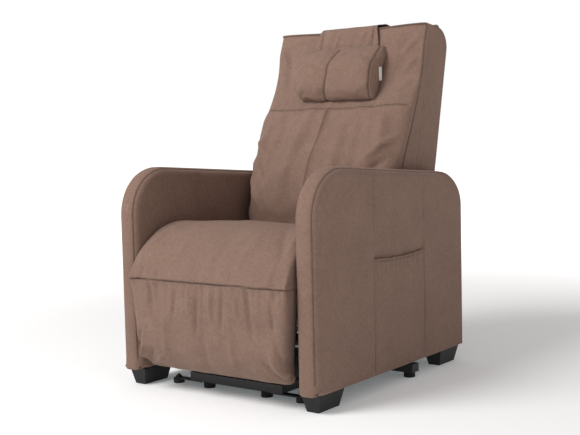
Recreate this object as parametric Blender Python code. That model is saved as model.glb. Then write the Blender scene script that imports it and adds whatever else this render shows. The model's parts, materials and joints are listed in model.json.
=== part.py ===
"""A power-lift massage recliner: base, lift linkage, upholstered chair, reclining back with a
massage carriage, and a fold-out leg rest. Metres, +Z up, the sitter faces -Y.
The origin is on the floor, under the middle of the chair's box."""

import math

import bmesh
import bpy
from mathutils import Vector

# Fits
GAP = 0.0003                # between two pieces that touch
PIN_PLAY = 0.0003           # between a pin and its hole, on the radius
WELD = 0.001                # how far two welded pieces run into each other
PIN_END = 0.002             # how far a pin stands out of what it holds
CUT_OVER = 0.010            # how far a drill stands out of what it cuts

# Overall sizes
CHAIR_WIDTH = 0.700         # over both arms
ARM_THICK = 0.0675
ARM_FRONT_Y = -0.4225
ARM_DEPTH = 0.814
ARM_BOTTOM_Z = 0.0487
ARM_TOP_Z = 0.6454          # where the top line would meet the arm's front
ARM_TOP_SLOPE = 0.0634      # fall of the arm's top per metre towards the rear
ARM_FRONT_RADIUS = 0.148
ARM_REAR_RADIUS = 0.129
SIDE_CLEARANCE = 0.0045     # between the arms and what sits between them

ARM_REAR_Y = ARM_FRONT_Y + ARM_DEPTH
ARM_OUT_X = CHAIR_WIDTH / 2
ARM_IN_X = ARM_OUT_X - ARM_THICK
SEAT_HALF = ARM_IN_X - SIDE_CLEARANCE

# Block feet under the arms
FOOT_WIDTH = 0.038
FOOT_LENGTH = 0.095
FOOT_INSET_X = 0.019
FOOT_INSET_Y = 0.032
FOOT_TAPER = 0.011

# Side pocket in the right arm
POCKET_FRONT_Y = -0.137
POCKET_REAR_Y = 0.141
POCKET_DEPTH = 0.014
POCKET_BOTTOM_Z = 0.110
POCKET_MOUTH_Z = 0.376
POCKET_TOP_Z = 0.430
POCKET_SKIN = 0.003

# Seat and leg rest
SEAT_FRONT_Y = -0.4475
SEAM_Z = 0.325
SEAT_REAR_Y = 0.160
SEAT_BASE_Z = SEAM_Z + 0.010
SEAT_PROFILE = [(-0.004, 0.010), (0.000, 0.022), (0.016, 0.060), (0.058, 0.102), (0.110, 0.137),
                (0.160, 0.148), (0.210, 0.149), (0.310, 0.138), (0.455, 0.116)]
SEAT_REAR_ROUND = 0.020
SEAT_REAR_RISE = 0.095      # height of the cushion's rear, above the seam
DECK_THICK = 0.012
DECK_INSET = 0.012          # the deck is narrower than the cushion by this, on each side
DECK_Z = SEAT_BASE_Z - GAP - DECK_THICK
LEG_FRONT_Y = -0.4555
LEG_BOTTOM_Z = 0.063
LEG_CUSHION_THICK = 0.060
LEG_BOARD_THICK = 0.015
LEG_NARROWING = 0.020       # how much the leg rest narrows downwards, on each side
LEG_EDGE_ROUND = 0.020
LEG_TOP_DROP = 0.0085       # from the hinge down to the top of the leg rest's pad
LEG_BOARD_INSET = 0.010
LEG_BOARD_RISE = 0.006      # from the pad's underside up to the board's
LEG_HALF_BOTTOM = SEAT_HALF - LEG_NARROWING
HINGE_ROD_R = 0.0035
HINGE_ROD_PLAY = 0.0015     # between the hinge rod and the leaf behind it
LEAF_THICK = 0.003
LEAF_INSET = 0.058          # the hinge leaf is shorter than half the seat by this

# Steel sections
TUBE = 0.025                # square tube
PLATE = 0.006
PIN_R = 0.005
BOSS_R = 0.016              # round a pin at the edge of a plate
LUG_R = 0.013               # round a pin in a small lug
LUG_HALF = 0.022            # half the length of a lug's root
EDGE_INSET = 0.035          # from a boss to the corner of its plate

# Base frame
FRONT_BAR_Y = -0.330        # front face of the front crossbar
FRONT_BAR_HALF = 0.1675
BASE_Z = 0.0155             # underside of the crossbars
REAR_BAR_Y = 0.072          # front face of the rear crossbar
REAR_BAR_DEPTH = 0.038
REAR_BAR_HALF = 0.345
RAIL_X = 0.150              # middle of each base rail and of the chair's side frames
FRAME_DEPTH = 0.036
FRAME_FRONT = 0.050         # from the leg rest's shaft to the side frame's front end
SHAFT_BOSS_R = 0.018
NECK_HALF = 0.020           # half the width of the neck that carries the back's pin
NECK_RISE = 0.012
CROSS_MIDDLE_Y = -0.062
CROSS_REAR_Y = 0.316
CROSS_DROP = 0.014          # from the side frame's top down to the cross tubes
REAR_PANEL_Y = 0.350
REAR_PANEL_THICK = 0.021
REAR_PANEL_LOW = 0.075
REAR_PANEL_TOP = 0.362
FRONT_PAD_X = 0.105
OUTRIGGER_FOOT_X = 0.225
OUTRIGGER_THICK = 0.004
OUTRIGGER_WIDTH = 0.0225
OUTRIGGER_GAP = 0.006       # from the front pad to the outrigger's root
STEM_R = 0.004
REAR_PAD_X = 0.324
PAD_R = 0.017
FOOT_DISC_R = 0.0165
NUT_R = 0.0085
NUT_THICK = 0.005
STEM_ABOVE = 0.009          # how far the stem stands above the outrigger

# Lift linkage, as (y, z): two pairs of links turn on the base and carry the chair
LINK_PIVOT = (-0.2155, 0.075)       # rear link on the base
LINK_END = (0.1045, 0.100)          # rear link on the chair
STAY_PIVOT = (-0.2355, 0.0919)      # front stay on the base
STAY_END = (0.0645, 0.130)          # front stay on the chair
LINK_THICK = 0.008
LINK_WIDTH = 0.026
STAY_WIDTH = 0.018
STAY_SLACK = 0.0017                 # the stay's upper hole is loose, as the lift's ratio is constant
TORQUE_R = 0.009
LIFT_CRANK = 0.080
CRANK_WIDTH = 0.028
LIFT_MOTOR_PIVOT = (0.0910, 0.066)
FORK_GAP = 0.0005

# Electrics
CONTROL_X = (-0.138, -0.020)
CONTROL_Y = (0.010, 0.125)
CONTROL_DEPTH = 0.048
CONTROL_EDGE = 0.004
INLET_AT = (-0.150, 0.115)          # middle of the power inlet, as (x, z)
INLET_HALF = (0.025, 0.015)
INLET_THICK = 0.0075
INLET_FLOOR = 0.003
SOCKET_HALF = (0.013, 0.008)

# Leg-rest linkage, a parallelogram
LEG_PIVOT = (SEAT_FRONT_Y, SEAM_Z)
LEG_BAR = (0.200, -0.045)           # from the leg-rest hinge to the crank shaft
LEG_REACH = (0.0830, -0.140)        # from the hinge to the coupler's pin
LEG_CRANK_X = 0.200
LEG_SHAFT_R = 0.008
GEARMOTOR_WIDTH = 0.100
GEARMOTOR_FRONT = 0.024             # in front of the shaft
GEARMOTOR_REAR = 0.050              # behind the shaft
GEARMOTOR_BELOW = 0.030

# Backrest
BACK_PIVOT = (0.265, 0.400)
BACK_LEAN = math.radians(13.0)
BACK_CLEARANCE = 0.006              # the back is narrower than the seat by this, on each side
BACK_HALF = SEAT_HALF - BACK_CLEARANCE
SHELL_REAR = 0.0545                 # rear face, behind the pivot
SHELL_DEPTH = 0.125
SHELL_SKIN = 0.012
SHELL_LOW = 0.020                   # lower edge, above the pivot
SHELL_TOP = 0.669
SHELL_SIDE_TOP = 0.604
SHELL_TOP_FALL = 0.012              # fall of the top rail towards its front
CUSHION_ROUND = 0.024
CUSHION_REAR_LOW = 0.045            # where the back cushion's slanted underside meets the box
CUSHION_FRONT = [(-0.222, -0.007), (-0.240, 0.050), (-0.248, 0.106), (-0.246, 0.179),
                 (-0.226, 0.248), (-0.208, 0.305), (-0.188, 0.363), (-0.152, 0.424),
                 (-0.134, 0.495), (-0.129, 0.577), (-0.124, SHELL_TOP - 0.019)]
CROSS_LOW = 0.045                   # underside of the back's cross tube, above the pivot
BACK_TUBE_X = 0.172
BACK_FRAME_TOP = 0.590
BACK_TUBE_BELOW = 0.020             # how far the back's tubes reach below the pivot
RECLINE_CRANK = (0.030, -0.125)
RECLINE_CRANK_X = 0.100
RECLINE_MOTOR_PIVOT = (-0.018, 0.236)
RECLINE_STROKE = 0.090

# Massage carriage
GUIDE_X = 0.120
GUIDE_R = 0.006
GUIDE_BACK = 0.022                  # behind the pivot line
CARRIAGE_LOW = 0.160                # carriage centre at rest, above the pivot
CARRIAGE_HALF = (0.150, 0.045)
CARRIAGE_FRONT = 0.009              # in front of the guide rails' centre
CARRIAGE_REAR = 0.018               # behind it
MOTOR_HALF = 0.034
MOTOR_REACH = 0.052                 # how far the massage motor stands forwards
KNEAD_X = 0.075
ROLLER_R = 0.022
ROLLER_WIDTH = 0.030
ROLLER_REACH = 0.055
ROLLER_FORWARD = 0.033
KNEAD_AXLE_BEHIND = -0.006
KNEAD_AXLE_R = 0.006
KNEAD_THICK = 0.010
KNEAD_HUB_R = 0.011
KNEAD_BELLY = 0.026                 # how far an arm's middle stands in front of its axle

# Headrest
PILLOW_LEFT = -0.157
PILLOW_RIGHT = 0.160
PILLOW_REAR = [(-0.1692, 0.395), (-0.152, 0.424), (-0.134, 0.495), (-0.129, 0.577)]
PILLOW_FRONT = [(-0.146, 0.588), (-0.178, 0.583), (-0.203, 0.562), (-0.215, 0.525),
                (-0.2165, 0.480), (-0.211, 0.445), (-0.198, 0.415), (-0.184, 0.397)]
FLAP_LEFT = -0.095
FLAP_RIGHT = 0.120
FLAP_REAR = [(-0.130, 0.560), (-0.129, 0.577), (-0.1246, SHELL_TOP - 0.027)]
FLAP_SKIN = 0.004
FLIP_AT = (-0.117, SHELL_TOP - 0.016)   # the line that the headrest turns on
TAG_AT = (-0.158, 0.462)
TAG_WIDTH = 0.013
TAG_HEIGHT = 0.042
TAG_THICK = 0.0012
REST_CLEARANCE = 0.001              # between the headrest and the back cushion

# Actuators
ACTUATOR_R = 0.019
ACTUATOR_ROD_R = 0.008
BODY_FROM = 0.018                   # distances along an actuator, from its tail's pin
TAIL_TO = 0.030
DRUM_AT = 0.050
BORE_FROM = 0.072
DRUM_NEAR = 0.010                   # the motor drum's two ends, off the actuator's line
DRUM_FAR = 0.062
DRUM_R = 0.0185
EYE_ROOT = 0.012                    # how far the eye's flat reaches back along the rod
EYE_HALF = 0.008                    # half the thickness of an actuator's tail and eye
EYE_WIDTH = 0.022
EAR_THICK = 0.005
EAR_INSET = 0.004                   # from a tube's edge to an ear on it

SEGMENTS = 16


def clear_scene():
    for obj in list(bpy.data.objects):
        bpy.data.objects.remove(obj)


def make_material(name, color, roughness, metallic=0.0):
    material = bpy.data.materials.new(name)
    material.use_nodes = True
    shader = material.node_tree.nodes["Principled BSDF"]
    shader.inputs["Base Color"].default_value = (*color, 1.0)
    shader.inputs["Roughness"].default_value = roughness
    shader.inputs["Metallic"].default_value = metallic
    material.diffuse_color = (*color, 1.0)
    return material


def add_object(name, bm, material, origin=(0.0, 0.0, 0.0)):
    """Makes an object of bm's world-space shape, with its origin at the given point."""
    bmesh.ops.recalc_face_normals(bm, faces=bm.faces)
    bmesh.ops.translate(bm, verts=bm.verts, vec=-Vector(origin))
    mesh = bpy.data.meshes.new(name)
    bm.to_mesh(mesh)
    bm.free()
    mesh.materials.append(material)
    obj = bpy.data.objects.new(name, mesh)
    obj.location = origin
    bpy.context.scene.collection.objects.link(obj)
    return obj


def pivot_point(pivot, x=0.0):
    return (x, pivot[0], pivot[1])


def box(name, low, high, material, origin=(0.0, 0.0, 0.0)):
    bm = bmesh.new()
    bmesh.ops.create_cube(bm, size=1.0)
    size = Vector(high) - Vector(low)
    bmesh.ops.scale(bm, verts=bm.verts, vec=size)
    bmesh.ops.translate(bm, verts=bm.verts, vec=(Vector(high) + Vector(low)) / 2)
    return add_object(name, bm, material, origin)


def prism_bmesh(outline, x_low, x_high):
    """Pushes a closed outline of (y, z) points from x_low to x_high."""
    bm = bmesh.new()
    face = bm.faces.new([bm.verts.new((x_low, y, z)) for y, z in outline])
    pushed = bmesh.ops.extrude_face_region(bm, geom=[face])["geom"]
    moved = [item for item in pushed if isinstance(item, bmesh.types.BMVert)]
    bmesh.ops.translate(bm, verts=moved, vec=(x_high - x_low, 0.0, 0.0))
    return bm


def prism(name, outline, x_low, x_high, material, origin=(0.0, 0.0, 0.0)):
    return add_object(name, prism_bmesh(outline, x_low, x_high), material, origin)


def rod(name, start, end, radius, material, origin=(0.0, 0.0, 0.0), segments=SEGMENTS):
    """A round bar between two points."""
    start = Vector(start)
    line = Vector(end) - start
    bm = bmesh.new()
    bmesh.ops.create_cone(bm, cap_ends=True, segments=segments, radius1=radius, radius2=radius,
                          depth=line.length)
    bmesh.ops.rotate(bm, verts=bm.verts, matrix=line.to_track_quat("Z", "Y").to_matrix())
    bmesh.ops.translate(bm, verts=bm.verts, vec=start + line / 2)
    obj = add_object(name, bm, material, origin)
    obj.data.shade_smooth()
    obj.data.set_sharp_from_angle(angle=math.radians(40.0))
    return obj


def x_rod(name, pivot, x_low, x_high, radius, material, **more):
    start = pivot_point(pivot, x_low)
    return rod(name, start, pivot_point(pivot, x_high), radius, material, **more)


def helper(obj):
    obj.hide_render = True
    obj.display_type = "WIRE"
    return obj


def combine(obj, other, operation):
    modifier = obj.modifiers.new(operation.title(), "BOOLEAN")
    modifier.operation = operation
    modifier.solver = "EXACT"
    modifier.object = helper(other)


def cut(obj, cutter):
    combine(obj, cutter, "DIFFERENCE")


def join(obj, other):
    combine(obj, other, "UNION")


def soften(obj, width, segments=2, angle=40.0):
    modifier = obj.modifiers.new("Soft edges", "BEVEL")
    modifier.width = width
    modifier.segments = segments
    modifier.limit_method = "ANGLE"
    modifier.angle_limit = math.radians(angle)


def sides():
    """Each side's name and its direction along X."""
    return (("left", -1.0), ("right", 1.0))


def span(side, near, far):
    """The lower and upper x of a piece that reaches from near to far on one side."""
    return sorted((side * near, side * far))


def arc(centre, radius, start, end, steps=6):
    """Points on an arc in the YZ plane. Angles are in degrees from +Y towards +Z."""
    points = []
    for step in range(steps + 1):
        angle = math.radians(start + (end - start) * step / steps)
        y = centre[0] + radius * math.cos(angle)
        points.append((y, centre[1] + radius * math.sin(angle)))
    return points


def turned(point, angle):
    """A (y, z) vector turned about +X."""
    cosine, sine = math.cos(angle), math.sin(angle)
    return (cosine * point[0] - sine * point[1], sine * point[0] + cosine * point[1])


def added(first, second):
    return (first[0] + second[0], first[1] + second[1])


def on_back(behind, above):
    """A (y, z) point from its distances behind and above the recline pivot, along the back."""
    return added(BACK_PIVOT, turned((behind, above), -BACK_LEAN))


def stadium(start, end, width, steps=6):
    """The outline of a flat link with round ends."""
    direction = math.degrees(math.atan2(end[1] - start[1], end[0] - start[0]))
    first = arc(start, width / 2, direction + 90, direction + 270, steps)
    return first + arc(end, width / 2, direction - 90, direction + 90, steps)


def steel(name, shade=0.02, roughness=0.45):
    return make_material(name, (shade, shade, shade), roughness)


def rubber(name):
    return make_material(name, (0.02, 0.02, 0.02), 0.8)


# Base ---------------------------------------------------------------------------------------

def make_base():
    bar_top = BASE_Z + TUBE
    rear_y = REAR_BAR_Y + REAR_BAR_DEPTH / 2
    make_front_crossbar(bar_top)
    make_rear_crossbar(bar_top)
    for word, side in sides():
        make_base_rail(word, side, bar_top)
        make_levelling_foot(word, side)
        front_y = FRONT_BAR_Y + TUBE / 2
        rod(f"front_pad_{word}", (side * FRONT_PAD_X, front_y, 0.0),
            (side * FRONT_PAD_X, front_y, BASE_Z - GAP), PAD_R, rubber("front pad rubber"))
        rod(f"rear_pad_{word}", (side * REAR_PAD_X, rear_y, 0.0),
            (side * REAR_PAD_X, rear_y, BASE_Z - GAP), PAD_R, rubber("rear pad rubber"))


def make_front_crossbar(bar_top):
    """The square tube with a flat outrigger arm welded under each end."""
    material = steel("front crossbar paint")
    y_mid = FRONT_BAR_Y + TUBE / 2
    bar = box("front_crossbar", (-FRONT_BAR_HALF, FRONT_BAR_Y, BASE_Z),
              (FRONT_BAR_HALF, FRONT_BAR_Y + TUBE, bar_top), material)
    for word, side in sides():
        x_low, x_high = span(side, FRONT_PAD_X + PAD_R + OUTRIGGER_GAP,
                             OUTRIGGER_FOOT_X + OUTRIGGER_WIDTH / 2)
        join(bar, box(f"outrigger_{word}", (x_low, y_mid - OUTRIGGER_WIDTH / 2, outrigger_low()),
                      (x_high, y_mid + OUTRIGGER_WIDTH / 2, outrigger_low() + OUTRIGGER_THICK),
                      material))
        cut(bar, rod(f"outrigger_hole_{word}", (side * OUTRIGGER_FOOT_X, y_mid, 0.0),
                     (side * OUTRIGGER_FOOT_X, y_mid, bar_top), STEM_R + PIN_PLAY, material,
                     segments=12))


def outrigger_low():
    """Underside of the outrigger arm, which is welded 1 mm into the tube above it."""
    return BASE_Z + WELD - OUTRIGGER_THICK


def make_levelling_foot(word, side):
    """A disc on a threaded stem through the outrigger, with a nut on top."""
    material = make_material("levelling foot", (0.02, 0.02, 0.02), 0.6)
    x, y = side * OUTRIGGER_FOOT_X, FRONT_BAR_Y + TUBE / 2
    low = outrigger_low()
    nut_low = low + OUTRIGGER_THICK + GAP
    foot = rod(f"levelling_foot_{word}", (x, y, 0.0), (x, y, low - GAP), FOOT_DISC_R, material)
    join(foot, rod(f"levelling_stem_{word}", (x, y, low / 2), (x, y, nut_low + STEM_ABOVE), STEM_R,
                   material, segments=12))
    join(foot, rod(f"levelling_nut_{word}", (x, y, nut_low), (x, y, nut_low + NUT_THICK), NUT_R,
                   material, segments=6))


def make_rear_crossbar(bar_top):
    """The rear tube, with the two ears that hold the lift actuator's tail."""
    material = steel("rear crossbar paint")
    bar = box("rear_crossbar", (-REAR_BAR_HALF, REAR_BAR_Y, BASE_Z),
              (REAR_BAR_HALF, REAR_BAR_Y + REAR_BAR_DEPTH, bar_top), material)
    low = bar_top - WELD
    outline = [(REAR_BAR_Y + EAR_INSET, low), (REAR_BAR_Y + REAR_BAR_DEPTH - EAR_INSET, low)]
    outline += arc(LIFT_MOTOR_PIVOT, EYE_WIDTH / 2, -20, 200, 6)
    add_ears(bar, "lift", outline, 0.0, LIFT_MOTOR_PIVOT, material)


def add_ears(obj, name, outline, x_mid, pivot, material):
    """Two ears with a pin between them, round an actuator's tail."""
    near = EYE_HALF + FORK_GAP
    for word, side in sides():
        x_low, x_high = span(side, near, near + EAR_THICK)
        join(obj, prism(f"{name}_ear_{word}", outline, x_mid + x_low, x_mid + x_high, material))
    reach = near + EAR_THICK / 2
    join(obj, x_rod(f"{name}_ear_pin", pivot, x_mid - reach, x_mid + reach, PIN_R, material))


def make_base_rail(word, side, bar_top):
    """A side tube with a plate on it that carries the torque tube and the stay's pin."""
    material = steel("base rail paint")
    x_low, x_high = span(side, RAIL_X - TUBE / 2, RAIL_X + TUBE / 2)
    rail = box(f"base_rail_{word}", (x_low, FRONT_BAR_Y + TUBE + GAP, BASE_Z),
               (x_high, REAR_BAR_Y - GAP, bar_top), material)
    x_low, x_high = span(side, RAIL_X - PLATE / 2, RAIL_X + PLATE / 2)
    low = bar_top - WELD
    outline = [(LINK_PIVOT[0] + EDGE_INSET, low)]
    outline += arc(LINK_PIVOT, BOSS_R, -10, 70, 4)
    outline += arc(STAY_PIVOT, BOSS_R - 2 * WELD, 70, 190, 5)
    outline += [(STAY_PIVOT[0] - EDGE_INSET, low)]
    join(rail, prism(f"lift_bracket_{word}", outline, x_low, x_high, material))
    cut(rail, x_rod(f"bracket_bore_{word}", LINK_PIVOT, x_low - CUT_OVER, x_high + CUT_OVER,
                    TORQUE_R + PIN_PLAY, material))
    pin_low, pin_high = span(side, stay_inner_x() - PIN_END, RAIL_X)
    join(rail, x_rod(f"bracket_pin_{word}", STAY_PIVOT, pin_low, pin_high, PIN_R, material))


def stay_inner_x():
    return RAIL_X - PLATE / 2 - FORK_GAP - LINK_THICK


# Lift linkage -------------------------------------------------------------------------------

def make_lift_links():
    black = steel("link paint")
    tube_end = RAIL_X + PLATE / 2 + FORK_GAP
    origin = pivot_point(LINK_PIVOT)
    tube = x_rod("lift_torque_tube", LINK_PIVOT, -tube_end, tube_end, TORQUE_R, black, origin=origin)
    add_crank(tube, "lift", LINK_PIVOT, lift_crank_end(), 0.0, black)
    for word, side in sides():
        x_low, x_high = span(side, tube_end + GAP, tube_end + GAP + LINK_THICK)
        link = prism(f"lift_link_{word}", stadium(LINK_PIVOT, LINK_END, LINK_WIDTH), x_low, x_high,
                     black, origin)
        cut(link, x_rod(f"link_bore_{word}", LINK_END, x_low - CUT_OVER, x_high + CUT_OVER,
                        PIN_R + PIN_PLAY, black))
        x_low, x_high = span(side, stay_inner_x(), stay_inner_x() + LINK_THICK)
        stay = prism(f"lift_stay_{word}", stadium(STAY_PIVOT, STAY_END, STAY_WIDTH), x_low, x_high,
                     black, pivot_point(STAY_PIVOT))
        for place, pivot, play in (("base", STAY_PIVOT, PIN_PLAY), ("chair", STAY_END, STAY_SLACK)):
            cut(stay, x_rod(f"stay_bore_{place}_{word}", pivot, x_low - CUT_OVER, x_high + CUT_OVER,
                            PIN_R + play, black))


def lift_crank_end():
    return (LINK_PIVOT[0], LINK_PIVOT[1] + LIFT_CRANK)


def add_crank(obj, name, pivot, end, x_mid, material):
    """Two cheeks on a shaft that straddle an actuator's eye."""
    near = EYE_HALF + FORK_GAP
    for word, side in sides():
        x_low, x_high = span(side, near, near + PLATE)
        join(obj, prism(f"{name}_cheek_{word}", stadium(pivot, end, CRANK_WIDTH), x_mid + x_low,
                        x_mid + x_high, material))


def make_actuator(name, pivot, eye, x, body_share, drum_side, rod_from):
    """A linear actuator: the motor body with its tail and drum, and the rod with its eye."""
    line = Vector((0.0, eye[0] - pivot[0], eye[1] - pivot[1]))
    along = line.normalized()
    across = Vector((0.0, -along.z, along.y)) * drum_side
    tail = Vector(pivot_point(pivot, x))

    def at(distance, off=0.0):
        """A point so far along the actuator from its tail, and off to the drum's side."""
        return tail + along * distance + across * off

    def flat(word, start, end):
        outline = stadium(start.yz, end.yz, EYE_WIDTH)
        return prism(f"{name}_{word}", outline, x - EYE_HALF, x + EYE_HALF, grey)

    grey = make_material(name + " plastic", (0.03, 0.03, 0.035), 0.5)
    chrome = make_material(name + " chrome", (0.6, 0.6, 0.6), 0.2, 1.0)
    origin = pivot_point(pivot, x)
    body_end = line.length * body_share
    body = rod(name + "_motor", at(BODY_FROM), at(body_end), ACTUATOR_R, grey, origin=origin)
    join(body, flat("tail", at(0.0), at(TAIL_TO)))
    cut(body, x_rod(name + "_tail_bore", pivot, x - EYE_HALF - CUT_OVER, x + EYE_HALF + CUT_OVER,
                    PIN_R + PIN_PLAY, grey))
    join(body, rod(name + "_drum", at(DRUM_AT, DRUM_NEAR), at(DRUM_AT, DRUM_FAR), DRUM_R, grey))
    cut(body, rod(name + "_rod_bore", at(BORE_FROM), at(body_end + CUT_OVER),
                  ACTUATOR_ROD_R + PIN_PLAY, grey))
    shaft = rod(name + "_rod", at(rod_from), at(line.length - EYE_ROOT / 3), ACTUATOR_ROD_R, chrome,
                origin=origin)
    join(shaft, flat("eye", at(line.length - EYE_ROOT), at(line.length)))


# Chair body ---------------------------------------------------------------------------------

def arm_top_z(y):
    return ARM_TOP_Z - ARM_TOP_SLOPE * (y - ARM_FRONT_Y)


def arm_outline():
    """The arm's side outline: flat bottom, upright front and rear, round top corners."""
    tilt = math.degrees(math.atan(ARM_TOP_SLOPE))
    front_y = ARM_FRONT_Y + ARM_FRONT_RADIUS
    rear_y = ARM_REAR_Y - ARM_REAR_RADIUS
    front = (front_y, arm_top_z(front_y) - ARM_FRONT_RADIUS)
    rear = (rear_y, arm_top_z(rear_y) - ARM_REAR_RADIUS)
    outline = [(ARM_FRONT_Y, ARM_BOTTOM_Z), (ARM_REAR_Y, ARM_BOTTOM_Z)]
    outline += arc(rear, ARM_REAR_RADIUS, 0, 90 - tilt, 8)
    return outline + arc(front, ARM_FRONT_RADIUS, 90 - tilt, 180, 9)


def make_arms(fabric):
    for word, side in sides():
        x_low, x_high = span(side, ARM_IN_X, ARM_OUT_X)
        arm = prism(f"arm_{word}", arm_outline(), x_low, x_high, fabric)
        if side > 0:
            cut(arm, box("pocket_hollow",
                         (ARM_OUT_X - POCKET_DEPTH, POCKET_FRONT_Y, POCKET_BOTTOM_Z),
                         (ARM_OUT_X + CUT_OVER, POCKET_REAR_Y, POCKET_TOP_Z), fabric))
        for place, y_low in (("front", ARM_FRONT_Y + FOOT_INSET_Y),
                             ("rear", ARM_REAR_Y - FOOT_INSET_Y - FOOT_LENGTH)):
            make_block_foot(f"block_foot_{place}_{word}", side, y_low)
    box("side_pocket", (ARM_OUT_X - POCKET_SKIN, POCKET_FRONT_Y + GAP, POCKET_BOTTOM_Z + GAP),
        (ARM_OUT_X, POCKET_REAR_Y - GAP, POCKET_MOUTH_Z), fabric)


def make_block_foot(name, side, y_low):
    """A square foot that narrows towards the floor."""
    height = ARM_BOTTOM_Z - GAP
    middle = Vector((side * (ARM_OUT_X - FOOT_INSET_X - FOOT_WIDTH / 2), y_low + FOOT_LENGTH / 2, 0.0))
    bm = bmesh.new()
    bmesh.ops.create_cube(bm, size=1.0)
    bmesh.ops.scale(bm, verts=bm.verts, vec=(FOOT_WIDTH, FOOT_LENGTH, height))
    bmesh.ops.translate(bm, verts=bm.verts, vec=middle + Vector((0.0, 0.0, height / 2)))
    for vert in bm.verts:
        if vert.co.z > height / 2:
            vert.co.x += math.copysign(FOOT_TAPER, vert.co.x - middle.x)
            vert.co.y += math.copysign(FOOT_TAPER, vert.co.y - middle.y)
    return add_object(name, bm, make_material("foot plastic", (0.012, 0.012, 0.012), 0.5))


def make_seat(fabric):
    """The seat cushion: a long crowned top that rolls over the front edge, down to the seam."""
    crown = [(SEAT_FRONT_Y + behind, SEAM_Z + above) for behind, above in SEAT_PROFILE]
    rear_z = SEAM_Z + SEAT_REAR_RISE
    crown += [(SEAT_REAR_Y - SEAT_REAR_ROUND, rear_z), (SEAT_REAR_Y, rear_z - SEAT_REAR_ROUND * 0.75)]
    prism("seat_cushion", [(SEAT_REAR_Y, SEAT_BASE_Z)] + crown, -SEAT_HALF, SEAT_HALF, fabric)


def make_seat_frame():
    """The plywood deck, with the leg rest's hinge rod along its front, on two steel side frames."""
    wood = make_material("deck plywood", (0.45, 0.32, 0.2), 0.7)
    half = SEAT_HALF - DECK_INSET
    deck = box("seat_deck", (-half, LEG_PIVOT[0], DECK_Z),
               (half, SEAT_REAR_Y, DECK_Z + DECK_THICK), wood)
    join(deck, x_rod("leg_hinge_rod", LEG_PIVOT, -leaf_half(), leaf_half(), HINGE_ROD_R, wood,
                     segments=12))
    for word, side in sides():
        make_side_frame(word, side)
    make_seat_crosses()


def leaf_half():
    return SEAT_HALF - LEAF_INSET


def leg_shaft_at():
    return added(LEG_PIVOT, LEG_BAR)


def make_side_frame(word, side):
    """One plate carries the lift pins, the leg rest's shaft and the back's recline pin."""
    material = steel("side frame paint")
    x_low, x_high = span(side, RAIL_X - PLATE / 2, RAIL_X + PLATE / 2)
    top = DECK_Z - GAP
    shaft = leg_shaft_at()
    low = top - FRAME_DEPTH
    frame_rear = CROSS_REAR_Y + TUBE
    outline = [(shaft[0] - FRAME_FRONT, top), (shaft[0] - FRAME_FRONT, low)]
    outline += arc(shaft, SHAFT_BOSS_R, 190, 350, 5)
    outline += [(shaft[0] + FRAME_FRONT, low), (STAY_END[0] - EDGE_INSET, low)]
    outline += arc(STAY_END, BOSS_R, 170, 240, 3)
    outline += arc(LINK_END, BOSS_R, -110, 10, 4)
    outline += [(LINK_END[0] + EDGE_INSET, low), (frame_rear, low), (frame_rear, top - NECK_RISE)]
    outline += [(BACK_PIVOT[0] + NECK_HALF, top + NECK_RISE)]
    outline += arc(BACK_PIVOT, BOSS_R, 0, 180, 6)
    outline += [(BACK_PIVOT[0] - NECK_HALF, top + NECK_RISE), (BACK_PIVOT[0] - 2 * NECK_HALF, top)]
    frame = prism(f"side_frame_{word}", outline, x_low, x_high, material)
    cut(frame, x_rod(f"frame_bore_{word}", shaft, x_low - CUT_OVER, x_high + CUT_OVER,
                     LEG_SHAFT_R + PIN_PLAY, material))
    out_link = RAIL_X + PLATE / 2 + FORK_GAP + GAP + LINK_THICK + PIN_END
    out_tube = BACK_TUBE_X + TUBE / 2 + PIN_END
    pins = (("link", LINK_END, out_link), ("stay", STAY_END, stay_inner_x() - PIN_END),
            ("back", BACK_PIVOT, out_tube))
    for place, pivot, reach in pins:
        pin_low, pin_high = span(side, RAIL_X, reach)
        join(frame, x_rod(f"frame_pin_{place}_{word}", pivot, pin_low, pin_high, PIN_R, material))


def make_seat_crosses():
    """Two cross tubes between the side frames. The middle one holds the recline actuator."""
    material = steel("cross tube paint")
    half = RAIL_X - PLATE / 2 - GAP
    top = DECK_Z - GAP - CROSS_DROP
    box("seat_cross_rear", (-half, CROSS_REAR_Y, top - TUBE), (half, CROSS_REAR_Y + TUBE, top),
        material)
    middle = box("seat_cross_middle", (-half, CROSS_MIDDLE_Y, top - TUBE),
                 (half, CROSS_MIDDLE_Y + TUBE, top), material)
    back_y = CROSS_MIDDLE_Y + TUBE - WELD
    outline = arc(RECLINE_MOTOR_PIVOT, EYE_WIDTH / 2, -110, 70, 6)
    outline += [(back_y, top - 2 * WELD), (back_y, top - TUBE + 2 * WELD)]
    add_ears(middle, "recline", outline, RECLINE_CRANK_X, RECLINE_MOTOR_PIVOT, material)


def make_electrics():
    """The control box hangs from the deck, and the power inlet is in the rear panel."""
    plastic = make_material("electrics plastic", (0.03, 0.03, 0.03), 0.55)
    top = DECK_Z - GAP
    x_low, x_high = CONTROL_X
    y_low, y_high = CONTROL_Y
    control = box("control_box", (x_low, y_low, top - CONTROL_DEPTH), (x_high, y_high, top), plastic)
    soften(control, CONTROL_EDGE, 1)
    face = REAR_PANEL_Y + REAR_PANEL_THICK + GAP
    x, z = INLET_AT
    half_x, half_z = INLET_HALF
    inlet = box("power_inlet", (x - half_x, face, z - half_z),
                (x + half_x, face + INLET_THICK, z + half_z), plastic)
    half_x, half_z = SOCKET_HALF
    cut(inlet, box("inlet_socket", (x - half_x, face + INLET_FLOOR, z - half_z),
                   (x + half_x, face + INLET_THICK + CUT_OVER, z + half_z), plastic))


# Leg rest -----------------------------------------------------------------------------------

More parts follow.
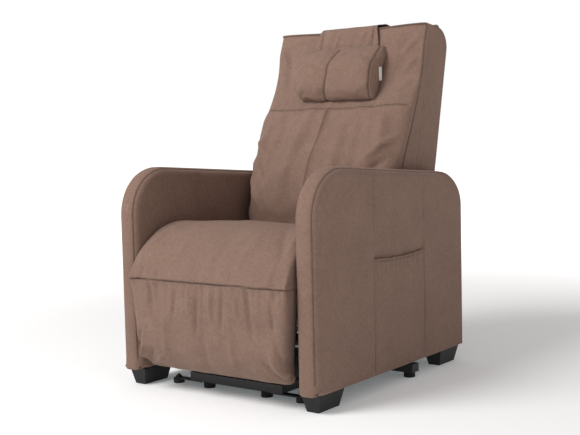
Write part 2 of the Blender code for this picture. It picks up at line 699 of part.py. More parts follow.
def make_leg_rest(fabric):
    board_low = LEG_FRONT_Y + LEG_CUSHION_THICK + GAP
    board_back = board_low + LEG_BOARD_THICK
    top = LEG_PIVOT[1] - LEG_TOP_DROP - GAP
    make_leg_cushion(fabric, top)
    reach = added(LEG_PIVOT, LEG_REACH)
    shaft = leg_shaft_at()
    knee = added(shaft, LEG_REACH)
    make_leg_board(board_low, board_back, top, reach)
    black = steel("leg linkage paint")
    tube_end = LEG_CRANK_X + PLATE / 2
    axle = x_rod("leg_shaft", shaft, -tube_end, tube_end, LEG_SHAFT_R, black,
                 origin=pivot_point(shaft))
    for word, side in sides():
        x_low, x_high = span(side, LEG_CRANK_X - PLATE / 2, LEG_CRANK_X + PLATE / 2)
        join(axle, prism(f"leg_crank_{word}", stadium(shaft, knee, LINK_WIDTH), x_low, x_high, black))
        pin_low, pin_high = span(side, LEG_CRANK_X, coupler_x() + PLATE + PIN_END)
        join(axle, x_rod(f"leg_crank_pin_{word}", knee, pin_low, pin_high, PIN_R, black))
        x_low, x_high = span(side, coupler_x(), coupler_x() + PLATE)
        link = prism(f"leg_coupler_{word}", stadium(knee, reach, EYE_WIDTH), x_low, x_high, black,
                     pivot_point(knee))
        for place, pivot in (("crank", knee), ("board", reach)):
            cut(link, x_rod(f"coupler_bore_{place}_{word}", pivot, x_low - CUT_OVER, x_high + CUT_OVER,
                            PIN_R + PIN_PLAY, black))
    make_leg_gearmotor(shaft)


def make_leg_gearmotor(shaft):
    """The motor that turns the leg rest's shaft, which runs right through it."""
    paint = make_material("gearmotor paint", (0.04, 0.04, 0.045), 0.5)
    half = GEARMOTOR_WIDTH / 2
    motor = box("leg_gearmotor", (-half, shaft[0] - GEARMOTOR_FRONT, shaft[1] - GEARMOTOR_BELOW),
                (half, shaft[0] + GEARMOTOR_REAR, DECK_Z - GAP), paint)
    cut(motor, x_rod("gearmotor_bore", shaft, -half - CUT_OVER, half + CUT_OVER,
                     LEG_SHAFT_R + PIN_PLAY, paint))


def coupler_x():
    return LEG_CRANK_X + PLATE / 2 + FORK_GAP


def make_leg_cushion(fabric, top):
    """A pad that narrows downwards, with its front edges rounded at the top and the bottom."""
    bm = bmesh.new()
    bmesh.ops.create_cube(bm, size=1.0)
    middle = LEG_FRONT_Y + LEG_CUSHION_THICK / 2
    for vert in bm.verts:
        half = SEAT_HALF if vert.co.z > 0 else LEG_HALF_BOTTOM
        vert.co.x = math.copysign(half, vert.co.x)
        vert.co.y = middle + math.copysign(LEG_CUSHION_THICK / 2, vert.co.y)
        vert.co.z = top if vert.co.z > 0 else LEG_BOTTOM_Z
    front = [edge for edge in bm.edges
             if all(vert.co.y < middle for vert in edge.verts)
             and abs(edge.verts[0].co.z - edge.verts[1].co.z) < 0.001]
    bmesh.ops.bevel(bm, geom=front, offset=LEG_EDGE_ROUND, segments=3, profile=0.5, affect="EDGES",
                    material=-1)
    add_object("leg_cushion", bm, fabric, pivot_point(LEG_PIVOT))


def make_leg_board(board_low, board_back, top, reach):
    """The board behind the pad, with a hinge leaf on its top edge and a lug for each coupler."""
    wood = make_material("leg board", (0.45, 0.32, 0.2), 0.7)
    half = LEG_HALF_BOTTOM - LEG_BOARD_INSET
    board = box("leg_board", (-half, board_low, LEG_BOTTOM_Z + LEG_BOARD_RISE),
                (half, board_back, top + WELD), wood, pivot_point(LEG_PIVOT))
    leaf_y = LEG_PIVOT[0] + HINGE_ROD_R + HINGE_ROD_PLAY
    join(board, box("leg_hinge_leaf", (-leaf_half(), leaf_y, top + GAP),
                    (leaf_half(), board_back, top + GAP + LEAF_THICK), wood))
    outline = [(board_back - WELD, reach[1] - LUG_HALF)]
    outline += arc(reach, LUG_R, -60, 60, 4)
    outline += [(board_back - WELD, reach[1] + LUG_HALF)]
    near = coupler_x() + PLATE + FORK_GAP
    for word, side in sides():
        x_low, x_high = span(side, near, near + PLATE)
        join(board, prism(f"leg_lug_{word}", outline, x_low, x_high, wood))
        pin_low, pin_high = span(side, coupler_x() - PIN_END, near + PLATE / 2)
        join(board, x_rod(f"leg_lug_pin_{word}", reach, pin_low, pin_high, PIN_R, wood))


# Backrest -----------------------------------------------------------------------------------

def back_prism(name, outline, x_low, x_high, material):
    """A prism whose outline is given behind and above the recline pivot, along the back."""
    points = [on_back(behind, above) for behind, above in outline]
    return prism(name, points, x_low, x_high, material, pivot_point(BACK_PIVOT))


def back_box(name, x_pair, behind_pair, above_pair, material):
    corners = [(behind_pair[0], above_pair[0]), (behind_pair[1], above_pair[0]),
               (behind_pair[1], above_pair[1]), (behind_pair[0], above_pair[1])]
    return back_prism(name, corners, x_pair[0], x_pair[1], material)


def make_back_shell(fabric):
    """The upholstered back box: a rear panel, two sides and a top rail with a round rear corner."""
    front = SHELL_REAR - SHELL_DEPTH
    inner_rear = SHELL_REAR - SHELL_SKIN
    back_box("back_rear_panel", (-BACK_HALF, BACK_HALF), (inner_rear, SHELL_REAR),
             (SHELL_LOW, SHELL_SIDE_TOP), fabric)
    for word, side in sides():
        back_box(f"back_side_{word}", span(side, BACK_HALF - SHELL_SKIN, BACK_HALF),
                 (front, inner_rear - GAP), (SHELL_LOW, SHELL_SIDE_TOP), fabric)
    low = SHELL_SIDE_TOP + GAP
    radius = SHELL_TOP - low
    outline = [(front, low), (SHELL_REAR, low)]
    outline += arc((SHELL_REAR - radius, low), radius, 0, 90, 6)[1:]
    outline += [(front, SHELL_TOP - SHELL_TOP_FALL)]
    back_prism("back_top_rail", outline, -BACK_HALF, BACK_HALF, fabric)


def make_back_cushion(fabric):
    """The pad on the front of the box: deepest at the waist, then thinner up to the head."""
    rear = SHELL_REAR - SHELL_DEPTH - GAP
    outline = [(rear, CUSHION_REAR_LOW)] + CUSHION_FRONT + [(rear, SHELL_TOP - SHELL_TOP_FALL)]
    points = [on_back(*point) for point in outline]
    bm = prism_bmesh(points, -BACK_HALF, BACK_HALF)
    front = {tuple(round(value, 5) for value in point) for point in points[1:-1]}
    edges = [edge for edge in bm.edges
             if all((round(vert.co.y, 5), round(vert.co.z, 5)) in front for vert in edge.verts)
             and abs(edge.verts[0].co.x - edge.verts[1].co.x) < 0.001]
    bmesh.ops.bevel(bm, geom=edges, offset=CUSHION_ROUND, segments=2, profile=0.5, affect="EDGES",
                    material=-1)
    add_object("back_cushion", bm, fabric, pivot_point(BACK_PIVOT))


def make_back_frame():
    """Two upright tubes on the recline pins, and a cross tube with the actuator's crank."""
    black = steel("back frame paint")
    half = TUBE / 2
    for word, side in sides():
        x_low, x_high = span(side, BACK_TUBE_X - half, BACK_TUBE_X + half)
        tube = back_box(f"back_tube_{word}", (x_low, x_high), (-half, half),
                        (-BACK_TUBE_BELOW, BACK_FRAME_TOP), black)
        cut(tube, x_rod(f"back_tube_bore_{word}", BACK_PIVOT, x_low - CUT_OVER, x_high + CUT_OVER,
                        PIN_R + PIN_PLAY, black))
    inner = BACK_TUBE_X - half - GAP
    cross = back_box("back_cross", (-inner, inner), (-half, half), (CROSS_LOW, CROSS_LOW + TUBE),
                     black)
    outline = [on_back(half, CROSS_LOW + WELD), on_back(-half, CROSS_LOW + WELD)]
    outline += arc(added(BACK_PIVOT, RECLINE_CRANK), LUG_R, 200, 380, 6)
    near = EYE_HALF + FORK_GAP
    for word, side in sides():
        x_low, x_high = span(side, near, near + PLATE)
        join(cross, prism(f"recline_cheek_{word}", outline, RECLINE_CRANK_X + x_low,
                          RECLINE_CRANK_X + x_high, black))


# Massage carriage ---------------------------------------------------------------------------

def back_rod(name, x, behind, low, high, radius, material, segments=SEGMENTS):
    start = pivot_point(on_back(behind, low), x)
    end = pivot_point(on_back(behind, high), x)
    return rod(name, start, end, radius, material, pivot_point(BACK_PIVOT), segments)


def make_guide_rails():
    chrome = make_material("guide chrome", (0.6, 0.6, 0.62), 0.2, 1.0)
    for word, side in sides():
        back_rod(f"guide_rail_{word}", side * GUIDE_X, GUIDE_BACK, CROSS_LOW, SHELL_SIDE_TOP - WELD,
                 GUIDE_R, chrome)


def make_carriage():
    """The block that climbs the guide rails, with its motor and the axle of the knead arms."""
    dark = make_material("carriage plastic", (0.05, 0.05, 0.055), 0.5)
    half_x, half_w = CARRIAGE_HALF
    face = GUIDE_BACK - CARRIAGE_FRONT
    low, high = CARRIAGE_LOW - half_w, CARRIAGE_LOW + half_w
    block = back_box("massage_carriage", (-half_x, half_x), (face, GUIDE_BACK + CARRIAGE_REAR),
                     (low, high), dark)
    for word, side in sides():
        cut(block, back_rod(f"carriage_bore_{word}", side * GUIDE_X, GUIDE_BACK, low - CUT_OVER,
                            high + CUT_OVER, GUIDE_R + PIN_PLAY, dark))
    join(block, back_box("massage_motor", (-MOTOR_HALF, MOTOR_HALF), (-MOTOR_REACH, face + WELD),
                         (CARRIAGE_LOW - MOTOR_HALF, CARRIAGE_LOW + MOTOR_HALF), dark))
    axle = on_back(KNEAD_AXLE_BEHIND, CARRIAGE_LOW)
    axle_half = KNEAD_X + KNEAD_THICK / 2 + PIN_END
    join(block, x_rod("massage_axle", axle, -axle_half, axle_half, KNEAD_AXLE_R, dark))
    for word, side in sides():
        make_knead_arm(word, side, axle, dark)


def make_knead_arm(word, side, axle, dark):
    """An arm that rocks on the axle and carries a roller at each end."""
    x_low, x_high = span(side, KNEAD_X - KNEAD_THICK / 2, KNEAD_X + KNEAD_THICK / 2)
    forward = KNEAD_AXLE_BEHIND - ROLLER_FORWARD
    hubs = {"lower": on_back(forward, CARRIAGE_LOW - ROLLER_REACH),
            "upper": on_back(forward, CARRIAGE_LOW + ROLLER_REACH)}
    lean = math.degrees(BACK_LEAN)
    outline = arc(axle, LUG_R, -60 - lean, 60 - lean, 4)
    outline += arc(hubs["upper"], KNEAD_HUB_R, 50 - lean, 230 - lean, 5)
    outline += [on_back(KNEAD_AXLE_BEHIND - KNEAD_BELLY, CARRIAGE_LOW)]
    outline += arc(hubs["lower"], KNEAD_HUB_R, 130 - lean, 310 - lean, 5)
    arm = prism(f"knead_arm_{word}", outline, x_low, x_high, dark, pivot_point(axle))
    cut(arm, x_rod(f"knead_bore_{word}", axle, x_low - CUT_OVER, x_high + CUT_OVER,
                   KNEAD_AXLE_R + PIN_PLAY, dark))
    near = KNEAD_X + KNEAD_THICK / 2 + WELD
    pin_low, pin_high = span(side, KNEAD_X, near + ROLLER_WIDTH)
    roller_low, roller_high = span(side, near, near + ROLLER_WIDTH)
    for place, hub in hubs.items():
        join(arm, x_rod(f"knead_pin_{place}_{word}", hub, pin_low, pin_high, STEM_R, dark,
                        segments=12))
        roller = x_rod(f"roller_{place}_{word}", hub, roller_low, roller_high, ROLLER_R,
                       rubber("roller rubber"), origin=pivot_point(hub))
        cut(roller, x_rod(f"roller_bore_{place}_{word}", hub, roller_low - CUT_OVER,
                          roller_high + CUT_OVER, STEM_R + PIN_PLAY, dark, segments=12))


# Headrest -----------------------------------------------------------------------------------

def make_headrest(fabric):
    """A stuffed roll of a pillow on a flap that hangs from the top of the back cushion."""
    origin = pivot_point(on_back(*FLIP_AT))
    pillow = prism("headrest_pillow", clear_of_cushion(PILLOW_REAR + PILLOW_FRONT), PILLOW_LEFT,
                   PILLOW_RIGHT, fabric, origin)
    far = [(behind - FLAP_SKIN, above) for behind, above in reversed(FLAP_REAR)]
    join(pillow, prism("headrest_flap", clear_of_cushion(FLAP_REAR + far), FLAP_LEFT, FLAP_RIGHT,
                       fabric))
    low_y, low_z = on_back(*TAG_AT)
    box("pillow_tag", (PILLOW_RIGHT + GAP, low_y, low_z),
        (PILLOW_RIGHT + GAP + TAG_THICK, low_y + TAG_WIDTH, low_z + TAG_HEIGHT),
        make_material("tag weave", (0.8, 0.8, 0.78), 0.8), origin)


def clear_of_cushion(outline):
    """An outline along the back, moved just off the cushion's front."""
    return [on_back(behind - REST_CLEARANCE, above) for behind, above in outline]


def build():
    clear_scene()
    fabric = make_material("suede", (0.30, 0.22, 0.17), 0.9)
    make_base()
    make_lift_links()
    make_actuator("lift_actuator", LIFT_MOTOR_PIVOT, lift_crank_end(), 0.0, 0.62, -1.0, 0.080)
    make_arms(fabric)
    make_seat(fabric)
    make_seat_frame()
    box("rear_panel", (-SEAT_HALF, REAR_PANEL_Y, REAR_PANEL_LOW),
        (SEAT_HALF, REAR_PANEL_Y + REAR_PANEL_THICK, REAR_PANEL_TOP), fabric)
    make_electrics()
    make_leg_rest(fabric)
    make_back_shell(fabric)
    make_back_cushion(fabric)
    make_back_frame()
    make_actuator("recline_actuator", RECLINE_MOTOR_PIVOT, added(BACK_PIVOT, RECLINE_CRANK),
                  RECLINE_CRANK_X, 0.66, -1.0, 0.075 + RECLINE_STROKE)
    make_guide_rails()
    make_carriage()
    make_headrest(fabric)


build()
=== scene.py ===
# %% Load the frame
import json
import math

import bmesh
import bpy
import numpy as np
from mathutils import Matrix, Vector


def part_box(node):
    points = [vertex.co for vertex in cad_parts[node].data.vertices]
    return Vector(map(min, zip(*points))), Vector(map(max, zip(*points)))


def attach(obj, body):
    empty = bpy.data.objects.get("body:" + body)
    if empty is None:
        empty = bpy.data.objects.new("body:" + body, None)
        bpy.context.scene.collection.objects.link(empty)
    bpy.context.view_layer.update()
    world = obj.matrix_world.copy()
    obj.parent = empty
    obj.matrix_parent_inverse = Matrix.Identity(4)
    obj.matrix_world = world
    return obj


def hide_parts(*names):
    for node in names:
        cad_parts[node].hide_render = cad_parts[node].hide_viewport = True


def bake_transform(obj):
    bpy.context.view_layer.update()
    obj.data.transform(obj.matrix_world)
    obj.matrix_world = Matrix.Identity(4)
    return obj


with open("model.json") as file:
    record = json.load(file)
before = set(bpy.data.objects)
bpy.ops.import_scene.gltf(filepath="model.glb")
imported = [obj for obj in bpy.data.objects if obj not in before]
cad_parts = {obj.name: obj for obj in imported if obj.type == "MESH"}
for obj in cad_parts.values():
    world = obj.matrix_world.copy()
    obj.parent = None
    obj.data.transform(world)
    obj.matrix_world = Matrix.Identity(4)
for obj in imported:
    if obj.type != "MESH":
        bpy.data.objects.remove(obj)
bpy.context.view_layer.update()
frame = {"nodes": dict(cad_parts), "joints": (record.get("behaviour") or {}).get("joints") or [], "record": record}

# %% [markdown]
# # A power-lift massage recliner in suede
#
# The frame is a steel lift, two plywood boards and a set of plain blocks where the
# upholstery goes. This lesson dresses that frame. Hard parts stay as they are and get a
# better finish. Every soft part is made again as its own object, because cloth is never
# flat: it swells, pulls in at its seams and gathers where it is sewn.
#
# The first tool is a grid block: a cube, cut into rows at chosen stations. A plain
# subdivision would space the rows evenly, but seams and rolled edges want their rows close
# together, so the stations are given as lists.

# %% A block of quads with chosen rows
def spaced(low, high, step, edge=0.0, count=0):
    """Stations from low to high, with count finer ones over the width edge at both ends."""
    inner_low = low + edge
    inner_high = high - edge
    cells = max(1, round((inner_high - inner_low) / step))
    middle = np.linspace(inner_low, inner_high, cells + 1)
    if not count:
        return middle
    fine = np.linspace(0.0, edge, count + 1)[:-1]
    return np.concatenate([low + fine, middle, high - fine[::-1]])


def grid_block(xs, ys, zs):
    """A closed box of quads whose rows of vertices lie at the given stations."""
    bm = bmesh.new()
    bmesh.ops.create_cube(bm, size=1.0, matrix=Matrix.Translation((0.5, 0.5, 0.5)))
    for axis, stations in enumerate((xs, ys, zs)):
        along = [edge for edge in bm.edges
                 if abs(edge.verts[0].co[axis] - edge.verts[1].co[axis]) > 1e-4]
        if len(stations) > 2:
            bmesh.ops.subdivide_edges(bm, edges=along, cuts=len(stations) - 2,
                                      use_grid_fill=True)
    for vert in bm.verts:
        vert.co = [stations[round(vert.co[axis] * (len(stations) - 1))]
                   for axis, stations in enumerate((xs, ys, zs))]
    return bm


def points_of(bm):
    return np.array([vert.co for vert in bm.verts])


def put(bm, points):
    for vert, point in zip(bm.verts, points):
        vert.co = point


def normals_of(bm):
    bm.normal_update()
    return np.array([vert.normal for vert in bm.verts])


print("a small block has", len(grid_block([0, 1, 2], [0, 1], [0, 1]).verts), "vertices")

# %% [markdown]
# Folds, seams and rolls are all moves of those vertices. A fold is a soft ridge or valley
# along a line, strongest in its middle. Waves and lumps are uneven in the way that cloth is,
# but they come from a seeded dice, so that every run gives the same chair. Displacement
# textures could do this too, and are harder to aim at one corner.

# %% Moves that shape cloth
def smooth(value, low, high):
    """0 below low, 1 above high, and a soft step between them."""
    share = np.clip((value - low) / (high - low), 0.0, 1.0)
    return share * share * (3.0 - 2.0 * share)


def curve_through(stops, value):
    """A soft curve through (value, result) stops, read at each value."""
    known, results = np.array(stops, float).T
    slopes = np.gradient(results, known)
    place = np.clip(np.searchsorted(known, value) - 1, 0, len(known) - 2)
    width = known[place + 1] - known[place]
    t = np.clip((value - known[place]) / width, 0.0, 1.0)
    low, high = results[place], results[place + 1]
    return (low * (1 + 2 * t) * (1 - t) ** 2 + high * t * t * (3 - 2 * t)
            + width * slopes[place] * t * (1 - t) ** 2
            - width * slopes[place + 1] * t * t * (1 - t))


def fold(across, along, start, end, width, height, ends=0.35):
    """A ridge of that height and width from start to end, in a cloth's own two directions."""
    start, end = np.array(start, float), np.array(end, float)
    run = end - start
    length = np.hypot(*run)
    dx, dy = across - start[0], along - start[1]
    t = (dx * run[0] + dy * run[1]) / length ** 2
    off = (dx * run[1] - dy * run[0]) / length
    taper = smooth(t, -0.05, ends) * (1.0 - smooth(t, 1.0 - ends, 1.05))
    return height * taper * np.exp(-(off / width) ** 2)


def waves(value, seed, pitch, count=5):
    """An uneven ripple from -1 to 1 with about that pitch, the same on every run."""
    dice = np.random.default_rng(seed)
    total = np.zeros_like(value)
    for _ in range(count):
        length = pitch * dice.uniform(0.6, 1.7)
        total += np.sin(value * 2 * np.pi / length + dice.uniform(0, 2 * np.pi))
    return total / count ** 0.5 / 1.4


def lumps(points, seed, size, count=14):
    """Soft uneven swelling from about -1 to 1, in three dimensions, with lumps of that size."""
    dice = np.random.default_rng(seed)
    total = np.zeros(len(points))
    for _ in range(count):
        direction = dice.normal(size=3)
        direction /= np.linalg.norm(direction) * size * dice.uniform(0.7, 1.6) / (2 * np.pi)
        total += np.sin(points @ direction + dice.uniform(0, 2 * np.pi))
    return total / count ** 0.5


print("a fold 4 mm high rises by", float(fold(0.0, 0.5, (0.0, 0.0), (0.0, 1.0), 0.01, 0.004)), "m")

# %% [markdown]
# A seam pulls the cloth in, and it also leaves a mark for the material: an attribute that
# says how near the seam is and how far along it a point lies. The material draws the thin dark
# line and the stitches from that, so they stay sharp however coarse the mesh is.

# %% Seams
SEAM_REACH = 0.02           # how far from a seam the mark reaches
FAR = 1.0                   # a distance for points that no seam is near


def near_line(points, line):
    """(distance, position along) of each point from a line of points, in metres."""
    line = np.array(line, float)
    best = np.full(len(points), FAR)
    run = np.zeros(len(points))
    travelled = 0.0
    for a, b in zip(line[:-1], line[1:]):
        step = b - a
        length = np.linalg.norm(step)
        t = np.clip((points - a) @ step / length ** 2, 0.0, 1.0)
        gap = np.linalg.norm(points - a - t[:, None] * step, axis=1)
        run = np.where(gap < best, travelled + t * length, run)
        best = np.minimum(best, gap)
        travelled += length
    return best, run


def sew(bm, lines, depth, width):
    """Pulls the cloth in along each line and marks how near, and how far along, a seam is."""
    points = points_of(bm)
    gap = np.full(len(points), FAR)
    run = np.zeros(len(points))
    for line in lines:
        here, there = near_line(points, line)
        run = np.where(here < gap, there, run)
        gap = np.minimum(gap, here)
    sew_at(bm, gap, run, depth, width)


def sew_at(bm, gap, run, depth, width):
    """The same, where each point's distance from a seam is already known."""
    put(bm, points_of(bm) - normals_of(bm) * (depth * np.exp(-(gap / width) ** 2))[:, None])
    near = bm.verts.layers.float.get("seam_near") or bm.verts.layers.float.new("seam_near")
    place = bm.verts.layers.float.get("seam_run") or bm.verts.layers.float.new("seam_run")
    for vert, here, there in zip(bm.verts, gap, run):
        vert[near] = max(0.0, SEAM_REACH - here)
        vert[place] = there


print("seam marks reach", SEAM_REACH, "m")

# %% [markdown]
# Every shape becomes an object in the same way: its faces are turned outwards and shaded
# smooth, it gets its material, and it stays at the origin, with its place in its mesh.

# %% From a shape to a piece
def piece(name, bm, material):
    """Makes the shape an object, at the origin, with smooth faces that point outwards."""
    bmesh.ops.recalc_face_normals(bm, faces=bm.faces)
    mesh = bpy.data.meshes.new(name)
    bm.to_mesh(mesh)
    bm.free()
    mesh.materials.append(material)
    mesh.polygons.foreach_set("use_smooth", [True] * len(mesh.polygons))
    obj = bpy.data.objects.new(name, mesh)
    bpy.context.scene.collection.objects.link(obj)
    print(name, len(mesh.polygons), "faces")
    return obj


# %% [markdown]
# Finishes come next. A shader is sums on textures, so a small class wraps a socket and lets
# Python's own signs add the Math nodes. A longer way is to place every node by hand, and the
# sum is then hard to read back.

# %% Shader sums in Python
class Wire:
    """A node's output that can be added, multiplied and compared like a number."""

    def __init__(self, finish, socket):
        self.finish = finish
        self.socket = socket

    def _sum(self, operation, first, second=0.0):
        return self.finish.node("ShaderNodeMath", {"operation": operation},
                                {0: first, 1: second})

    def __add__(self, other):
        return self._sum("ADD", self, other)

    def __radd__(self, other):
        return self._sum("ADD", other, self)

    def __sub__(self, other):
        return self._sum("SUBTRACT", self, other)

    def __rsub__(self, other):
        return self._sum("SUBTRACT", other, self)

    def __mul__(self, other):
        return self._sum("MULTIPLY", self, other)

    def __gt__(self, other):
        return self._sum("GREATER_THAN", self, other)

    def __mod__(self, other):
        return self._sum("FLOORED_MODULO", self, other)

    def abs(self):
        return self._sum("ABSOLUTE", self)

    def step(self, low, high):
        """0 below low, 1 above high."""
        return self.finish.node("ShaderNodeMapRange", {"interpolation_type": "SMOOTHSTEP"},
                                {"Value": self, "From Min": low, "From Max": high})


# %% [markdown]
# A finish is one Principled shader and the textures that feed it. Every texture reads the
# piece's own coordinates, so a grain has the same size on every piece. Only what varies over
# the surface gets nodes; a value that is the same all over is set on the shader itself.

# %% A finish under construction
class Finish:
    """A material, and short ways to add to it."""

    def __init__(self, name, roughness=0.5, **fixed):
        self.material = bpy.data.materials.new(name)
        self.material.use_nodes = True
        self.shader = self.material.node_tree.nodes["Principled BSDF"]
        self.shader.inputs["Roughness"].default_value = roughness
        for socket, value in fixed.items():
            self.shader.inputs[socket.replace("_", " ").title()].default_value = value

    def node(self, kind, settings, sockets, output=0):
        """Adds a node, sets it up, joins or fills its sockets, and gives one of its outputs."""
        made = self.material.node_tree.nodes.new(kind)
        for key, value in settings.items():
            setattr(made, key, value)
        for key, value in sockets.items():
            self.feed(made.inputs[key], value)
        return Wire(self, made.outputs[output])

    def feed(self, socket, value):
        if isinstance(value, Wire):
            self.material.node_tree.links.new(value.socket, socket)
        else:
            socket.default_value = value

    def place(self, stretch=(1.0, 1.0, 1.0)):
        """The piece's own coordinates, in metres, stretched to make a grain run one way."""
        where = self.node("ShaderNodeTexCoord", {}, {}, "Object")
        return self.node("ShaderNodeVectorMath", {"operation": "MULTIPLY"},
                         {0: where, 1: stretch})

    def noise(self, scale, detail=3.0, rough=0.55, stretch=(1.0, 1.0, 1.0), twist=0.0):
        return self.node("ShaderNodeTexNoise", {},
                         {"Vector": self.place(stretch), "Scale": scale, "Detail": detail,
                          "Roughness": rough, "Distortion": twist})

    def attribute(self, name):
        return self.node("ShaderNodeAttribute", {"attribute_name": name}, {}, "Fac")

    def tint(self, factor, low, high):
        """A colour between low and high."""
        return self.node("ShaderNodeMix", {"data_type": "RGBA"},
                         {0: factor, 6: color(low), 7: color(high)}, 2)

    def over(self, factor, under, top):
        return self.node("ShaderNodeMix", {"data_type": "RGBA"}, {0: factor, 6: under, 7: top}, 2)

    def color(self, value):
        self.feed(self.shader.inputs["Base Color"], value)

    def rough(self, value):
        self.feed(self.shader.inputs["Roughness"], value)

    def bump(self, height, strength, distance):
        relief = self.node("ShaderNodeBump", {}, {"Height": height, "Strength": strength,
                                                  "Distance": distance})
        self.feed(self.shader.inputs["Normal"], relief)


def color(rgb):
    """A screen colour, 0 to 255, as the linear colour that a socket takes."""
    return tuple((value / 255 / 12.92) if value < 10.3
                 else ((value / 255 + 0.055) / 1.055) ** 2.4 for value in rgb) + (1.0,)


print("middle grey is", [round(value, 3) for value in color((128, 128, 128))])

# %% [markdown]
# Suede microfibre is matte. Its nap lies this way and that and catches the light unevenly, so
# the colour drifts in soft patches: partly the cloth's own tone, partly painted sheen. A fine
# grain breaks up the light. Along each seam the cloth turns in: a thin dark line, with soft
# painted shade round it and a row of stitches beside it that only shows close up.

# %% Suede
NAP_DARK = (119, 95, 83)
NAP_LIGHT = (139, 114, 101)
JOIN_DARK = (58, 42, 34)
THREAD = (92, 71, 60)
STITCH = 0.0045             # one stitch and the gap after it
STITCH_GAP = 0.0014
STITCH_FROM_JOIN = 0.0032


def suede(name, shade=1.0):
    cloth = Finish(name, 0.92, sheen_weight=0.08, sheen_roughness=0.5)
    cloth.shader.inputs["Specular IOR Level"].default_value = 0.18
    patch = cloth.noise(11.0, 4.0, 0.6, twist=0.6)
    mottle = cloth.noise(130.0, 4.0, 0.65)
    grain = cloth.noise(900.0, 2.0, 0.7)
    # nap: the cloth's own tone, and partly painted sheen where the nap catches the light
    nap = patch * 0.20 + mottle * 0.40 + grain * 0.40
    light = cloth.tint(nap.step(0.34, 0.66), [value * shade for value in NAP_DARK],
                       [value * shade for value in NAP_LIGHT])
    gap = SEAM_REACH - cloth.attribute("seam_near")
    join = 1.0 - gap.step(0.0004, 0.0018)
    # shadow: painted shade beside each seam
    shadow = 1.0 - gap.step(0.001, 0.006)
    dash = (cloth.attribute("seam_run") % STITCH) > STITCH_GAP
    stitch = dash * (1.0 - (gap - STITCH_FROM_JOIN).abs().step(0.0003, 0.0008))
    dark = cloth.over(join * 0.50 + shadow * 0.10, light, color(JOIN_DARK))
    cloth.color(cloth.over(stitch * 0.25, dark, color(THREAD)))
    cloth.rough(0.86 + nap * 0.12)
    height = mottle * 0.5 + grain * 0.35 - join * 1.1 - shadow * 0.5 + stitch * 0.5
    cloth.bump(height, 0.55, 0.0016)
    return cloth.material


SUEDE = suede("suede")
PIPING_CLOTH = suede("piping_suede", 0.86)      # it lies in its own shadow
print("suede made with", len(SUEDE.node_tree.nodes), "nodes")

# %% [markdown]
# The arm is a foam-covered slab. A band of cloth runs up its front and over its top, and a
# flat panel closes each side. Cutting that outline from a plane would leave one huge face, so
# the slab is a grid block whose rows are stretched to the outline.

# %% The outline of an arm
ARM_LOW, ARM_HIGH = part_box("arm_right")
ARM_RISE = 0.5967           # from the underside to the top line, at the front
TOP_FALL = 0.0634           # fall of the top line per metre, towards the rear
FRONT_ROUND = 0.148
REAR_ROUND = 0.129
ROLL = 0.023                # radius of the rolled edge between band and panel
ROLL_REAR = 0.012           # at the rear
ROLL_FOOT = 0.007           # and along the bottom


def arm_row(height, share):
    """(y, z) at a share of the way from the arm's front to its rear, at a height."""
    up_front = np.clip(height - (ARM_RISE - FRONT_ROUND), 0.0, FRONT_ROUND)
    up_rear = np.clip(height - (ARM_RISE - REAR_ROUND), 0.0, REAR_ROUND)
    front = ARM_LOW.y + FRONT_ROUND - np.sqrt(FRONT_ROUND ** 2 - up_front ** 2)
    rear = ARM_HIGH.y - REAR_ROUND + np.sqrt(REAR_ROUND ** 2 - up_rear ** 2)
    y = front + (rear - front) * share
    fall = TOP_FALL * (y - ARM_LOW.y) * (height / ARM_RISE) ** 3
    return y, ARM_LOW.z + height - fall


def arm_outline_points(count=90):
    """The outline as (y, z) points, from the bottom front, over the top, to the bottom rear."""
    rise = ARM_RISE * np.sin(np.linspace(0.0, np.pi / 2, count))
    front = np.stack(arm_row(rise, np.zeros(count)), axis=1)
    top = np.stack(arm_row(np.full(count, ARM_RISE), np.linspace(0.0, 1.0, count)), axis=1)
    rear = np.stack(arm_row(rise[::-1], np.ones(count)), axis=1)
    return np.concatenate([front, top[1:-1], rear])


OUTLINE = arm_outline_points()
print("arm outline", OUTLINE.min(0).round(4), OUTLINE.max(0).round(4))

# %% [markdown]
# Foam under cloth has no sharp edge. A bevel would leave its own rows in the mesh, so the
# edges are rolled instead: the surface within a short distance of an edge, on the side and on
# the rim alike, is laid on an arc. The back box and the rear panel are rolled the same way.

# %% Rolling the edges of a slab
ON_LINE = 0.0006            # nearer than this, a point counts as on the outline


def from_outline(yz, closed_line):
    """(distance, direction, nearest point) of each (y, z) point inwards from the outline."""
    best = np.full(len(yz), FAR)
    nearest = np.zeros_like(yz)
    square = np.zeros_like(yz)
    ends = np.roll(closed_line, -1, axis=0)
    area = np.sum(closed_line[:, 0] * ends[:, 1] - ends[:, 0] * closed_line[:, 1])
    for a, b in zip(closed_line, ends):
        step = b - a
        length = step @ step
        if length < 1e-12:
            continue
        t = np.clip((yz - a) @ step / length, 0.0, 1.0)
        place = a + t[:, None] * step
        gap = np.hypot(*(yz - place).T)
        closer = gap < best
        nearest[closer] = place[closer]
        square[closer] = np.sign(area) * np.array([-step[1], step[0]]) / math.sqrt(length)
        best = np.minimum(best, gap)
    away = (yz - nearest) / np.maximum(best, 1e-9)[:, None]
    return best, np.where(best[:, None] > ON_LINE, away, square), nearest


